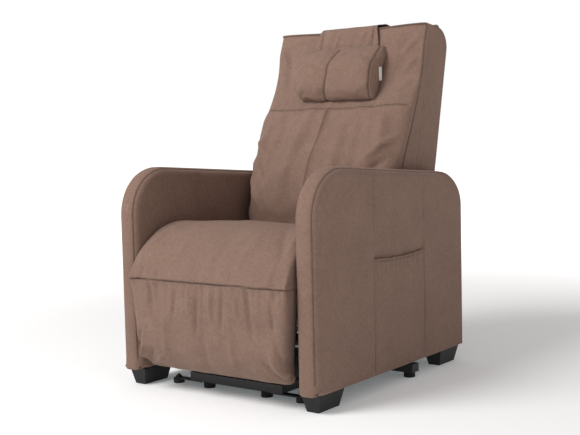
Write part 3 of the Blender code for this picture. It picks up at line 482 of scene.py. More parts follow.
def roll_edges(points, half, line, radius_at):
    """Rounds a slab's edges. Its side faces lie at x = half and -half, its rim on the line."""
    x, yz = points[:, 0], points[:, 1:]
    depth, inwards, nearest = from_outline(yz, line)
    radius = radius_at(nearest)
    depth = np.where(depth < ON_LINE, 0.0, depth)
    on_side = np.abs(x) > half - 1e-6
    run = np.where(on_side, depth, np.abs(x) - half)
    turn = np.pi / 4 * (1.0 + np.clip(run / radius, -1.0, 1.0))
    drop_rim = radius * (1.0 - np.cos(turn))
    drop_side = radius * (1.0 - np.sin(turn))
    rolled = np.abs(run) < radius
    base = np.where(on_side[:, None], nearest, yz)
    yz = np.where(rolled[:, None], base + inwards * drop_rim[:, None], yz)
    x = np.where(rolled, np.sign(x) * (half - drop_side), x)
    return np.column_stack([x, yz]), depth, on_side


def even_roll(radius):
    """The same radius all round, for roll_edges."""
    return lambda places: np.full(len(places), radius)


print("edges roll over a quarter turn of", ROLL, "m in front and", ROLL_REAR, "m behind")

# %% [markdown]
# Each side panel is three pieces of cloth, joined by two upright seams. The panels swell a
# little over the foam, dip at the seams, and lie slack in between. On the right arm's outside,
# the cloth steps in behind the pocket, so that the pocket's mouth is open.

# %% The panels of an arm
PANEL_SEAMS = (-0.137, 0.141)
PANEL_SWELL = 0.0022
PANEL_DIP = 0.0016
BAND_SWELL = 0.0016
POCKET_LOW = 0.058
POCKET_MOUTH = 0.378
POCKET_DEEP = 0.006


def arm_stations():
    half = (ARM_HIGH.x - ARM_LOW.x) / 2
    xs = spaced(-half, half, 0.006, 0.012, 6)
    shares = spaced(0.0, 1.0, 0.0085, 0.016, 8)
    rises = spaced(0.0, ARM_RISE, 0.0065, 0.012, 7)
    return half, xs, shares, rises


def pull_in_at(points, side, out):
    """The soft valleys at the two upright seams, and the slack of the panels between."""
    swell = PANEL_SWELL * (1.0 - np.exp(-out / 0.045))
    for seam in PANEL_SEAMS:
        swell -= PANEL_DIP * np.exp(-((points[:, 1] - seam) / 0.014) ** 2) * smooth(out, 0.0, 0.02)
    swell += 0.0007 * lumps(points, 11 if side > 0 else 12, 0.16) * smooth(out, 0.0, 0.05)
    return swell


def pocket_hollow(points, outer):
    """How far the panel steps in behind the pocket."""
    _, y, z = points.T
    across = smooth(y, PANEL_SEAMS[0] + 0.001, PANEL_SEAMS[0] + 0.006)
    across *= 1.0 - smooth(y, PANEL_SEAMS[1] - 0.006, PANEL_SEAMS[1] - 0.001)
    up = smooth(z, POCKET_LOW, POCKET_LOW + 0.008)
    up *= 1.0 - smooth(z, POCKET_MOUTH + 0.002, POCKET_MOUTH + 0.045)
    return np.where(outer, POCKET_DEEP * across * up, 0.0)


print("panel seams at", PANEL_SEAMS, "and the pocket's mouth at height", POCKET_MOUTH)

# %% [markdown]
# Both arms come from one recipe, with side as -1 or 1. The block is stretched to the outline,
# rolled and swollen, moved to its place, and sewn last. The seam that joins a panel to the
# band runs part of the way round the rolled edge.

# %% The two arms
SEAM_TURN = math.radians(38.0)      # how far round the rolled edge the panel's seam lies
CORNER_REACH = 0.045        # how far along the bottom the corners stay as round as the front


def roll_radius(rim):
    """How round the edge is at points of the outline: tighter at the rear and along the bottom."""
    full = ROLL - (ROLL - ROLL_REAR) * smooth(rim[:, 0], ARM_HIGH.y - 0.22, ARM_HIGH.y - 0.06)
    from_corner = np.minimum(rim[:, 0] - ARM_LOW.y, ARM_HIGH.y - rim[:, 0])
    foot = ROLL_FOOT + (full - ROLL_FOOT) * (1.0 - smooth(from_corner, 0.0, CORNER_REACH))
    return np.where(rim[:, 1] < ARM_LOW.z + 0.0005, foot, full)


def outline_seam(middle, side, half):
    """The seam line on one side of the arm, part of the way round its rolled edge."""
    line = OUTLINE[3:-3]
    _, inwards, _ = from_outline(line, OUTLINE)
    radius = roll_radius(line)
    moved = line + inwards * (radius * (1.0 - math.cos(SEAM_TURN)))[:, None]
    x = middle + side * (half - radius * (1.0 - math.sin(SEAM_TURN)))
    return np.column_stack([x, moved])


def arm_seams(middle, side, half):
    """The seams round both panels, and the upright ones on the outside."""
    lines = [outline_seam(middle, -1, half), outline_seam(middle, 1, half)]
    edge = middle + side * (half + 0.0015)
    for seam in PANEL_SEAMS:
        share = (seam - ARM_LOW.y) / (ARM_HIGH.y - ARM_LOW.y)
        top = arm_row(np.array([ARM_RISE]), np.array([share]))[1][0]
        lines.append([(edge, seam, ARM_LOW.z + 0.004), (edge, seam, top - 0.006)])
    return lines


def make_arm(word, side):
    half, xs, shares, rises = arm_stations()
    middle = side * (ARM_LOW.x + ARM_HIGH.x) / 2
    bm = grid_block(xs, shares, rises)
    x, share, rise = points_of(bm).T
    slab = np.column_stack([x, *arm_row(rise, share)])
    points, depth, on_side = roll_edges(slab, half, OUTLINE, roll_radius)
    swell = np.where(on_side, pull_in_at(points, side, depth),
                     BAND_SWELL * np.cos(points[:, 0] / half * np.pi / 2))
    if side > 0:
        swell -= pocket_hollow(points, on_side & (points[:, 0] > 0))
    put(bm, points)
    put(bm, points + normals_of(bm) * swell[:, None] + np.array([middle, 0.0, 0.0]))
    bmesh.ops.recalc_face_normals(bm, faces=bm.faces)
    sew(bm, arm_seams(middle, side, half), 0.0014, 0.0024)
    arm = piece(f"arm_{word}_cover", bm, SUEDE)
    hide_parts(f"arm_{word}")
    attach(arm, "chair")


for word, side in (("left", -1), ("right", 1)):
    make_arm(word, side)

# %% [markdown]
# The side pocket is a flap of the same cloth, sewn into the two upright seams and along its
# bottom. Its top edge is free: it is hemmed over a cord, hangs a few millimetres low in the
# middle, and the cloth below it is gathered. It starts as a thin grid block.

# %% The side pocket
HEM_SAG = 0.0065
HEM_ROLL = 0.0016           # how much the cord swells the hem
POCKET_CLOTH = 0.0022
POCKET_WIDTH = PANEL_SEAMS[1] - PANEL_SEAMS[0]


def hem_line():
    """The row of stitches below the hem's cord."""
    shares = np.linspace(0.02, 0.98, 25)
    return [(ARM_HIGH.x + 0.003, PANEL_SEAMS[0] + POCKET_WIDTH * share,
             POCKET_MOUTH - HEM_SAG * 4 * share * (1 - share) - 0.0075) for share in shares]


def make_pocket():
    ys = spaced(PANEL_SEAMS[0] + 0.0005, PANEL_SEAMS[1] - 0.0005, 0.004)
    zs = spaced(POCKET_LOW, POCKET_MOUTH, 0.005, 0.010, 5)
    bm = grid_block([0.0, 1.0], ys, zs)
    x, y, z = points_of(bm).T
    share = (y - PANEL_SEAMS[0]) / POCKET_WIDTH
    up = (z - POCKET_LOW) / (POCKET_MOUTH - POCKET_LOW)
    sag = HEM_SAG * 4 * share * (1 - share)
    inside = smooth(share, 0.0, 0.06) * (1.0 - smooth(share, 0.94, 1.0))
    gathers = waves(y, 21, 0.019) * np.exp(-np.abs(z - POCKET_MOUTH + 0.020) / 0.030) * inside
    roll = HEM_ROLL * np.exp(-((z - POCKET_MOUTH + 0.003) / 0.0035) ** 2)
    face = ARM_HIGH.x - 0.0010 + 0.0022 * gathers + 0.0032 * inside * smooth(up, 0.0, 0.3)
    thick = POCKET_CLOTH + roll * 1.2
    z = z - sag * smooth(up, 0.3, 1.0) + 0.0012 * waves(y, 23, 0.05) * smooth(up, 0.8, 1.0)
    put(bm, np.column_stack([face + roll - thick * (1.0 - x), y, z]))
    bmesh.ops.recalc_face_normals(bm, faces=bm.faces)
    sew(bm, [hem_line()], 0.0007, 0.0022)
    pocket = piece("side_pocket_flap", bm, SUEDE)
    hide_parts("side_pocket")
    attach(pocket, "chair")


make_pocket()

# %% [markdown]
# The seat and the leg rest's cover are swept shapes: an outline seen from the side, pushed
# across the chair, then tucked so that the sides pull in. Two outlines are used, one for the
# cloth and one for the board that it lies on, and the rows between run from one to the other.

# %% Sweeping a padded shape
def along_line(stops, share):
    """A point at each share of the length of a soft line through the stops."""
    stops = np.array(stops, float)
    travelled = np.concatenate([[0.0], np.cumsum(np.hypot(*np.diff(stops, axis=0).T))])
    known = travelled / travelled[-1]
    return (curve_through(np.column_stack([known, stops[:, 0]]), share),
            curve_through(np.column_stack([known, stops[:, 1]]), share))


def tuck(x, half, reach, depth, power=2.5):
    """How far a surface falls as it nears the sides of a cushion."""
    near = np.clip((np.abs(x) - (half - reach)) / reach, 0.0, 1.0)
    return depth * (1.0 - (1.0 - near ** power) ** (1.0 / power))


def crowded(count, lean=0.93):
    """Stations from -1 to 1 that lie closer together towards both ends."""
    return np.sin(np.linspace(-1, 1, count) * np.pi / 2 * lean) / np.sin(np.pi / 2 * lean)


print("21 crowded stations end", (1.0 - crowded(21)[-2]).round(4), "apart")

# %% [markdown]
# The seat is one long cushion that rolls over its front edge, down to the seam where the leg
# rest's cover begins. Sitting has stretched it: shallow folds run in from its corners, and its
# front is a little slack above the seam. Past the ends of its board it hangs down as a skirt.

# %% The seat cushion
SEAT_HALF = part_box("seat_cushion")[1].x
DECK_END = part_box("seat_deck")[1].x + 0.0005
SKIRT = 0.0015              # over how little the cloth drops past the board's end
SEAT_LENGTH = 0.80          # along the outline, for placing folds
SEAT_CROWN = 0.0045
SEAT_TOP = [(-0.4543, 0.3262), (-0.4535, 0.3345), (-0.4485, 0.3475), (-0.4325, 0.3845),
            (-0.3915, 0.4265), (-0.3380, 0.4600), (-0.2900, 0.4725), (-0.2400, 0.4745),
            (-0.1365, 0.4635), (0.0075, 0.4415), (0.1150, 0.4245), (0.1560, 0.4080)]
SEAT_BASE = [(-0.4514, 0.3262), (-0.4514, 0.3355), (-0.4400, 0.3356), (-0.3000, 0.3356),
             (-0.1500, 0.3356), (0.0000, 0.3356), (0.1560, 0.3356)]
# Each fold is its start and end, as (across, along), its width and its height.
SEAT_FOLDS = [
    ((-0.245, 0.10), (-0.190, 0.26), 0.013, 0.0040),
    ((-0.120, 0.02), (-0.105, 0.20), 0.012, 0.0032),
    ((0.010, 0.02), (0.030, 0.17), 0.013, 0.0032),
    ((0.120, 0.02), (0.130, 0.22), 0.012, 0.0036),
    ((0.255, 0.06), (0.175, 0.28), 0.011, -0.0050),
    ((0.262, 0.10), (0.225, 0.32), 0.011, 0.0050),
    ((0.262, 0.30), (0.180, 0.42), 0.014, 0.0030),
    ((-0.265, 0.42), (-0.235, 0.66), 0.013, 0.0030),
    ((-0.060, 0.30), (0.100, 0.38), 0.030, 0.0020),
]


def make_seat():
    shares = np.concatenate([np.linspace(0.0, 0.05, 9)[:-1], spaced(0.05, 1.0, 0.0085)])
    bm = grid_block(SEAT_HALF * crowded(86), shares, [0.0, 0.25, 0.5, 0.75, 1.0])
    x, share, up = points_of(bm).T
    top_y, top_z = along_line(SEAT_TOP, share)
    low_y, low_z = along_line(SEAT_BASE, share)
    y = low_y + (top_y - low_y) * up
    skirt = smooth(np.abs(x), DECK_END, DECK_END + SKIRT)
    low_z = low_z - (low_z - SEAT_TOP[0][1]) * skirt
    z = low_z + (top_z - low_z) * up
    front = 1.0 - smooth(share, 0.02, 0.30)
    sides = tuck(x, SEAT_HALF, 0.035, 0.020) * up * smooth(share, 0.0, 0.12)
    put(bm, np.column_stack([x, y + sides * front * 0.6, z - sides * (1.0 - 0.5 * front)]))
    bmesh.ops.recalc_face_normals(bm, faces=bm.faces)
    return bm, x, share, up


def crease_seat(bm, x, share, up):
    points = points_of(bm)
    hung = np.exp(-share / 0.11) * smooth(share, 0.0, 0.02)
    rise = 0.0030 * waves(x, 31, 0.042, 6) * hung + 0.0012 * waves(x, 32, 0.020) * hung ** 2
    rise += SEAT_CROWN * np.exp(-((share - 0.35) / 0.22) ** 2) * (1.0 - (x / SEAT_HALF) ** 2)
    rise += 0.0016 * lumps(points, 33, 0.11)
    for start, end, width, height in SEAT_FOLDS:
        rise += fold(x, share * SEAT_LENGTH, start, end, width, height)
    put(bm, points + normals_of(bm) * (rise * smooth(up, 0.4, 1.0))[:, None])
    line = [(side, -0.4548, 0.3262) for side in np.linspace(-SEAT_HALF, SEAT_HALF, 3)]
    sew(bm, [line], 0.0010, 0.004)


seat_mesh, *seat_places = make_seat()
crease_seat(seat_mesh, *seat_places)
SEAT = piece("seat_cushion_cover", seat_mesh, SUEDE)
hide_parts("seat_cushion")
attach(SEAT, "chair")

# %% [markdown]
# The leg rest's cover is gathered into the same seam. That leaves upright folds, deep at the
# seam and fading as they run down, and slanting ones where the cloth is pulled round the two
# lower corners.

# %% The leg rest's cover
LEG_HALF = 0.2775
LEG_NARROWS = 0.0200        # how much less wide it is, on each side, at its foot
LEG_LENGTH = 0.30           # along the outline, for placing folds
LEG_FRONT = [(-0.4543, 0.3255), (-0.4530, 0.3170), (-0.4545, 0.2900), (-0.4560, 0.2600),
             (-0.4558, 0.2000), (-0.4525, 0.1425), (-0.4440, 0.1120), (-0.4280, 0.0860),
             (-0.4060, 0.0680)]
LEG_BACK = [(-0.4512, 0.3255), (-0.4512, 0.3150), (-0.3960, 0.3150), (-0.3960, 0.2600),
            (-0.3960, 0.2000), (-0.3960, 0.1400), (-0.3960, 0.1000), (-0.3960, 0.0640)]
LEG_BACK_ENDS = [(-0.4512, 0.3255), (-0.4400, 0.3250), (-0.3960, 0.3250), (-0.3960, 0.2600),
                 (-0.3960, 0.2000), (-0.3960, 0.1400), (-0.3960, 0.1000), (-0.3960, 0.0640)]
LEG_FOLD_DEPTH = 1.35
LEG_FOLDS = [
    ((-0.225, 0.195), (-0.262, 0.268), 0.009, 0.0075),
    ((-0.190, 0.210), (-0.248, 0.282), 0.008, -0.0060),
    ((-0.235, 0.150), (-0.268, 0.235), 0.008, -0.0055),
    ((-0.160, 0.235), (-0.225, 0.290), 0.008, 0.0050),
    ((0.225, 0.180), (0.262, 0.268), 0.009, 0.0075),
    ((0.185, 0.205), (0.250, 0.285), 0.008, -0.0065),
    ((0.238, 0.140), (0.268, 0.230), 0.008, -0.0055),
    ((0.150, 0.230), (0.225, 0.292), 0.008, 0.0050),
    ((-0.100, 0.006), (-0.118, 0.130), 0.007, -0.0050),
    ((-0.055, 0.006), (-0.050, 0.100), 0.006, 0.0042),
    ((-0.020, 0.006), (-0.032, 0.175), 0.007, -0.0055),
    ((0.025, 0.006), (0.022, 0.115), 0.006, 0.0044),
    ((0.070, 0.006), (0.058, 0.150), 0.007, -0.0052),
    ((0.110, 0.006), (0.118, 0.095), 0.006, 0.0042),
    ((0.150, 0.006), (0.168, 0.165), 0.008, -0.0055),
    ((-0.200, 0.006), (-0.188, 0.120), 0.008, -0.0052),
    ((0.225, 0.006), (0.238, 0.140), 0.008, -0.0050),
    ((-0.140, 0.080), (-0.150, 0.260), 0.012, 0.0030),
    ((0.090, 0.110), (0.100, 0.270), 0.012, 0.0030),
    ((-0.010, 0.120), (0.000, 0.280), 0.012, -0.0028),
]


def make_leg_cover():
    shares = np.concatenate([np.linspace(0.0, 0.05, 8)[:-1], spaced(0.05, 1.0, 0.0130)])
    bm = grid_block(crowded(150), shares, [0.0, 0.25, 0.5, 0.75, 1.0])
    across, share, out = points_of(bm).T
    front_y, front_z = along_line(LEG_FRONT, share)
    x = across * (LEG_HALF - LEG_NARROWS * smooth(share, 0.1, 1.0))
    past_deck = smooth(np.abs(x), DECK_END, DECK_END + SKIRT)
    back_y, back_z = (inner + (outer - inner) * past_deck for inner, outer
                      in zip(along_line(LEG_BACK, share), along_line(LEG_BACK_ENDS, share)))
    y = back_y + (front_y - back_y) * out
    z = back_z + (front_z - back_z) * out
    y = y + tuck(across, 1.0, 0.12, 0.020) * out * smooth(share, 0.0, 0.18)
    z = z + tuck(across, 1.0, 0.16, 0.016) * smooth(share, 0.75, 1.0)
    put(bm, np.column_stack([x, y, z]))
    bmesh.ops.recalc_face_normals(bm, faces=bm.faces)
    return bm, x, share, out


def crease_leg_cover(bm, x, share, out):
    points = points_of(bm)
    down = share * LEG_LENGTH
    hung = np.exp(-down / 0.060) * smooth(down, 0.0, 0.006)
    rise = 0.0035 * waves(x, 41, 0.030, 6) * hung + 0.0020 * waves(x, 44, 0.016) * hung ** 2
    rise += 0.0022 * lumps(points, 43, 0.10)
    for start, end, width, height in LEG_FOLDS:
        rise += LEG_FOLD_DEPTH * fold(x, down, start, end, width, height)
    rise *= 1.0 - 0.6 * smooth(np.abs(x), 0.262, 0.278)     # clear of the arms
    put(bm, points + normals_of(bm) * (rise * smooth(out, 0.4, 1.0))[:, None])
    line = [(side, -0.4545, 0.3255) for side in np.linspace(-0.29, 0.29, 3)]
    sew(bm, [line], 0.0012, 0.004)


leg_mesh, *leg_places = make_leg_cover()
crease_leg_cover(leg_mesh, *leg_places)
LEG = piece("leg_rest_cover", leg_mesh, SUEDE)
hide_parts("leg_cushion")
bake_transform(LEG)

# %% [markdown]
# The backrest leans, so its parts are laid out along it: "behind" the recline pivot and
# "above" it, both measured square to the back. Modelling it upright and turning the object
# would work too, but a finished piece should lie unturned at the origin.

# %% Laying things out along the back
BACK_PIVOT = next(joint for joint in frame["joints"] if joint["name"] == "recline")["pos_m"]
LEAN = math.radians(13.0)


def on_back(behind, above):
    """(y, z) of a place given behind and above the recline pivot."""
    return (BACK_PIVOT[1] + behind * math.cos(LEAN) + above * math.sin(LEAN),
            BACK_PIVOT[2] - behind * math.sin(LEAN) + above * math.cos(LEAN))


def lay_on_back(bm, x, behind, above):
    put(bm, np.column_stack([x, *on_back(behind, above)]))


print("the back leans", round(math.degrees(LEAN), 1), "degrees about a pivot at height",
      round(BACK_PIVOT[2], 4))

# %% [markdown]
# A board box carries the mechanism. Its cover is smooth and tight, round along the top rear
# edge, with a seam round each side. It is made as a thin shell, open at the front, so that the
# massage carriage has room inside: the block's front faces go, and Solidify gives the wall.

# %% The cover of the back box
BOX_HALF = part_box("back_rear_panel")[1].x
BOX_FRONT = -0.0705
BOX_REAR = 0.0545
BOX_FOOT = 0.020
BOX_TOP = 0.669
BOX_ROUND = 0.060           # the top rear corner
BOX_EDGE = 0.009            # how far its other edges are rolled
BOX_FALL = 0.006            # how much the top falls towards its front
BOX_WALL = 0.011
SEAM_INSET = 0.004          # from the outline to the seam of the side panel


def round_corner(inset, count):
    """The top rear corner as (behind, above) points, that far inside the outline."""
    turns = np.linspace(0.0, math.pi / 2, count)
    radius = BOX_ROUND - inset
    return [(BOX_REAR - inset - radius * (1 - math.sin(turn)),
             BOX_TOP - inset - radius * (1 - math.cos(turn))) for turn in turns]


def make_back_box():
    xs = spaced(-BOX_HALF, BOX_HALF, 0.012, 0.012, 5)
    behinds = spaced(BOX_FRONT, BOX_REAR, 0.009, 0.010, 4)
    aboves = np.concatenate([spaced(BOX_FOOT, BOX_TOP - 0.060, 0.012),
                             np.linspace(BOX_TOP - 0.060, BOX_TOP, 13)[1:]])
    bm = grid_block(xs, behinds, aboves)
    x, behind, above = points_of(bm).T
    ahead = BOX_FRONT - 0.030
    rim = np.array([(ahead, BOX_FOOT), (ahead, BOX_TOP - BOX_FALL)] + round_corner(0.0, 12)
                   + [(BOX_REAR, BOX_FOOT)])
    low = BOX_REAR - BOX_ROUND
    over = np.clip((behind - low) / BOX_ROUND, 0.0, 1.0)
    ceiling = BOX_TOP - BOX_ROUND * (1.0 - np.sqrt(1.0 - over ** 2))
    ceiling -= BOX_FALL * smooth(-behind, 0.02, 0.07)
    share = (above - BOX_FOOT) / (BOX_TOP - BOX_FOOT)
    above = BOX_FOOT + share * (ceiling - BOX_FOOT)
    rolled, depth, on_side = roll_edges(np.column_stack([x, behind, above]), BOX_HALF, rim,
                                        even_roll(BOX_EDGE))
    swell = 0.0012 * (1.0 - np.exp(-depth / 0.03)) * on_side
    rolled[:, 0] += np.sign(rolled[:, 0]) * swell
    keep_front = behind < BOX_FRONT + 1e-6
    rolled[keep_front, 1] = BOX_FRONT
    lay_on_back(bm, *rolled.T)
    bm.verts.index_update()
    front = [face for face in bm.faces if all(keep_front[vert.index] for vert in face.verts)]
    bmesh.ops.delete(bm, geom=front, context="FACES")
    bmesh.ops.recalc_face_normals(bm, faces=bm.faces)
    return bm


def box_seam(side):
    """The seam round one side of the box, from its front top to its rear foot."""
    x = side * (BOX_HALF + 0.0006)
    rim = ([(-0.069, 0.661), (-0.03, 0.665)] + round_corner(SEAM_INSET, 10)
           + [(BOX_REAR - SEAM_INSET, BOX_FOOT + SEAM_INSET)])
    return [(x, *on_back(behind, above)) for behind, above in rim]


box_mesh = make_back_box()
sew(box_mesh, [box_seam(side) for side in (-1, 1)], 0.0010, 0.0025)
BOX = piece("back_box_cover", box_mesh, SUEDE)
wall = BOX.modifiers.new("board", "SOLIDIFY")
wall.thickness = BOX_WALL
wall.offset = -1.0
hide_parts("back_rear_panel", "back_side_left", "back_side_right", "back_top_rail")
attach(BOX, "backrest")

# %% [markdown]
# The back cushion is the face of the chair. It is a deep pad, fullest at the waist, with a
# piped edge all round. Its front rolls back towards that piping, so the cross-section is a
# flattened arch. Two curves along the back give its middle and its piping, and every other
# point lies on the arch between them.

# %% The shape of the back cushion
CUSHION_FRONT = [(-0.234, -0.007), (-0.259, 0.050), (-0.263, 0.100), (-0.262, 0.150),
                 (-0.252, 0.200), (-0.230, 0.250), (-0.213, 0.300), (-0.193, 0.350),
                 (-0.166, 0.400), (-0.144, 0.450), (-0.135, 0.500), (-0.131, 0.550),
                 (-0.129, 0.600), (-0.127, 0.650)]
PIPING = [(-0.140, 0.000), (-0.150, 0.060), (-0.156, 0.120), (-0.154, 0.188), (-0.143, 0.240),
          (-0.130, 0.290), (-0.118, 0.350), (-0.106, 0.420), (-0.0975, 0.503), (-0.102, 0.575),
          (-0.092, 0.655)]
CUSHION_HALF = BOX_HALF + 0.0006
CROSS_SEAM = 0.374          # height of the seam across, above the pivot
EAR_DIP = 0.014             # how much the top edge dips between its corners
CUSHION_TOP = 0.652
CUSHION_FOOT = -0.007       # its lower edge in front
CUSHION_HEEL = 0.045        # and at the box


def cushion_places(across, above, out):
    """(x, behind, above) on the cushion, for a share across, a height and a share forwards."""
    front = curve_through([(high, far) for far, high in CUSHION_FRONT], above)
    pipe = curve_through([(high, far) for far, high in PIPING], above)
    far = np.abs(across)
    arch = 1.0 - (1.0 - np.clip(far, 0.0, 1.0) ** 4) ** 0.5
    bulge = (0.006 + 0.005 * smooth(above, 0.22, 0.30)) * np.sin(np.pi * arch) * out
    face = front + (pipe - front) * arch
    rear = np.full_like(above, BOX_FRONT - 0.0001)
    behind = rear + (face - rear) * out
    x = across * CUSHION_HALF + np.sign(across) * bulge
    forwards = np.clip((behind + 0.0708) / -0.1152, 0.0, 1.0)
    floor = CUSHION_HEEL + (CUSHION_FOOT - CUSHION_HEEL) * forwards
    share = (above - CUSHION_FOOT) / (0.650 - CUSHION_FOOT)
    high = CUSHION_TOP - EAR_DIP * (1.0 - far ** 2) * smooth(out, 0.0, 1.0)
    return x, behind, floor + (high - floor) * share


def make_back_cushion():
    fine = np.array([-0.009, -0.006, -0.0035, -0.0015, 0.0, 0.0015, 0.0035, 0.006, 0.009])
    spread = np.sin(np.linspace(0, 1, 52) * 0.48 * np.pi) / np.sin(0.48 * np.pi)
    half = 0.016 + (1.0 - 0.016) * spread
    centre = fine[5:] / CUSHION_HALF
    half = np.concatenate([centre[centre < 0.034], half[half > 0.036]])
    across = np.concatenate([-half[::-1], [0.0], half])
    aboves = np.concatenate([np.linspace(-0.007, 0.02, 6), spaced(0.026, CROSS_SEAM - 0.015, 0.0065),
                             CROSS_SEAM + fine, spaced(CROSS_SEAM + 0.015, 0.632, 0.0065),
                             np.linspace(0.636, 0.650, 6)])
    bm = grid_block(across, [0.0, 0.2, 0.4, 0.6, 0.8, 0.93, 1.0], aboves)
    spread, out, above = points_of(bm).T
    lay_on_back(bm, *cushion_places(spread, above, out))
    bmesh.ops.recalc_face_normals(bm, faces=bm.faces)
    return bm, spread, out, above


cushion_mesh, *cushion_at = make_back_cushion()
print("back cushion:", len(cushion_mesh.verts), "vertices before its folds")

# %% [markdown]
# One seam crosses the cushion below the head, and another runs down from there. The cloth is
# loose: long folds hang from the seam across, and slanting ones run in from the sides, where
# the waist is fullest. Each is placed one by one, because folds at random look like crumpled
# paper. The seams are sewn last, so that they stay sharp over the folds.

# %% Folds in the back cushion
BACK_FOLD_DEPTH = 1.7
BACK_FOLDS = [
    ((-0.070, 0.360), (-0.095, 0.060), 0.020, -0.0070),
    ((0.070, 0.360), (0.090, 0.080), 0.020, -0.0070),
    ((-0.140, 0.365), (-0.165, 0.120), 0.016, 0.0050),
    ((0.135, 0.365), (0.160, 0.140), 0.016, 0.0050),
    ((-0.205, 0.365), (-0.222, 0.200), 0.014, -0.0060),
    ((0.195, 0.365), (0.215, 0.210), 0.014, -0.0055),
    ((-0.250, 0.300), (-0.180, 0.190), 0.011, -0.0060),
    ((-0.250, 0.225), (-0.165, 0.110), 0.012, 0.0060),
    ((-0.250, 0.160), (-0.185, 0.040), 0.011, -0.0065),
    ((0.250, 0.290), (0.175, 0.180), 0.011, -0.0060),
    ((0.250, 0.215), (0.160, 0.100), 0.012, 0.0065),
    ((0.250, 0.150), (0.180, 0.035), 0.011, -0.0070),
    ((-0.225, 0.640), (-0.195, 0.420), 0.014, 0.0045),
    ((0.215, 0.640), (0.195, 0.430), 0.014, 0.0045),
    ((0.255, 0.610), (0.195, 0.540), 0.009, -0.0045),
    ((0.255, 0.550), (0.205, 0.470), 0.009, -0.0040),
    ((-0.255, 0.600), (-0.205, 0.520), 0.009, -0.0040),
    ((0.250, 0.470), (0.200, 0.400), 0.009, -0.0035),
]


def crease_back_cushion(bm, spread, out, above):
    points = points_of(bm)
    x = spread * CUSHION_HALF
    low = 1.0 - smooth(above, CROSS_SEAM - 0.012, CROSS_SEAM)
    rise = 0.0028 * lumps(points, 51, 0.13) + 0.0010 * lumps(points, 54, 0.045)
    rise += 0.0024 * waves(x, 52, 0.050) * np.exp(-((CROSS_SEAM - above) / 0.07) ** 2) * low
    rise += 0.0016 * waves(x, 53, 0.040) * np.exp(-((above - CROSS_SEAM) / 0.045) ** 2) * (1.0 - low)
    for start, end, width, height in BACK_FOLDS:
        rise += BACK_FOLD_DEPTH * fold(x, above, start, end, width, height)
    inside = 1.0 - smooth(np.abs(x), 0.232, 0.258)
    rise -= 0.0060 * np.exp(-np.abs(above - CROSS_SEAM) / 0.012) * inside
    rise -= 0.0075 * np.exp(-np.abs(x) / 0.016) * low * smooth(above, 0.02, 0.12)
    edge = 1.0 - smooth(np.abs(spread), 0.94, 1.0)
    top = 1.0 - smooth(above, 0.635, 0.650)
    put(bm, points + normals_of(bm) * (rise * (out > 0.99) * edge * top)[:, None])


def back_seams(spread, out, above):
    """(distance, run) of each point of the front from the seam across and the one below it."""
    x = spread * CUSHION_HALF
    past_end = np.maximum(np.abs(x) - 0.250, 0.0)
    cross = np.hypot(above - CROSS_SEAM, past_end)
    down = np.hypot(x, np.maximum(above - CROSS_SEAM, 0.0))
    gap = np.where(out > 0.99, np.minimum(cross, down), 1.0)
    return gap, np.where(cross < down, x, above)


crease_back_cushion(cushion_mesh, *cushion_at)
sew_at(cushion_mesh, *back_seams(*cushion_at), 0.0007, 0.0030)
CUSHION = piece("back_cushion_cover", cushion_mesh, SUEDE)
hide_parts("back_cushion")
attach(CUSHION, "backrest")

# %% [markdown]
# Piping is a cord sewn inside a strip of the same cloth. Here it is one curve along the
# cushion's edge, up one side, across the top and down the other, with a round bevel. It is
# turned into a mesh before it becomes a piece.

# %% Piping
PIPING_RADIUS = 0.0030
PIPING_OUT = 0.0008         # how far its middle stands off the cushion's edge


def on_cushion(x, above):
    """A point on the front of the back cushion."""
    places = cushion_places(np.array([x / CUSHION_HALF]), np.array([above]), np.array([1.0]))
    side, behind, high = (float(value[0]) for value in places)
    return (side, *on_back(behind, high))


def piping_line():
    """Up one side of the cushion's front, across the top and down the other side."""
    ups = [on_cushion(-CUSHION_HALF, above) for above in np.linspace(0.0, 0.646, 60)]
    over = [on_cushion(x, 0.650) for x in np.linspace(-0.985, 0.985, 90) * CUSHION_HALF]
    return ups + over + [(-x, y, z) for x, y, z in reversed(ups)]


def tube_along(name, line, radius, material):
    """Round piping along a line of points, as a mesh."""
    curve = bpy.data.curves.new(name, "CURVE")
    curve.dimensions = "3D"
    curve.bevel_depth = radius
    curve.bevel_resolution = 2
    curve.use_fill_caps = True
    spline = curve.splines.new("POLY")
    spline.points.add(len(line) - 1)
    for point, place in zip(spline.points, line):
        point.co = (*place, 1.0)
    bent = bpy.data.objects.new(name, curve)
    bpy.context.scene.collection.objects.link(bent)
    bpy.context.view_layer.update()
    mesh = bpy.data.meshes.new_from_object(bent)
    bpy.data.objects.remove(bent)
    bm = bmesh.new()
    bm.from_mesh(mesh)
    bpy.data.meshes.remove(mesh)
    return piece(name, bm, material)


def pushed(line, out):
    """The line, moved a little forwards and sideways off the cushion's edge."""
    return [(x + math.copysign(out, x), y - out * 0.6, z + out * 0.2) for x, y, z in line]


PIPES = tube_along("back_cushion_piping", pushed(piping_line(), PIPING_OUT), PIPING_RADIUS,
                   PIPING_CLOTH)
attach(PIPES, "backrest")

# %% [markdown]
# The head pillow is a small stuffed roll. It is the best place on the chair for a cloth
# simulation: blown up a little inside a stiff skin, it finds its own wrinkles. The rough
# shape is remeshed into even cells and simulated for a few steps with gravity off. Its seams
# are pinned, and no point may travel further than a cap. The result is read back as a plain
# shape, so no Cloth modifier stays on the piece.

# %% Blowing up a cushion
VOXEL = 0.0045
PRESSURE = 4.0
STIFF = 12.0
FRAMES = 18
FURTHEST = 0.006            # the cap on how far a point moves


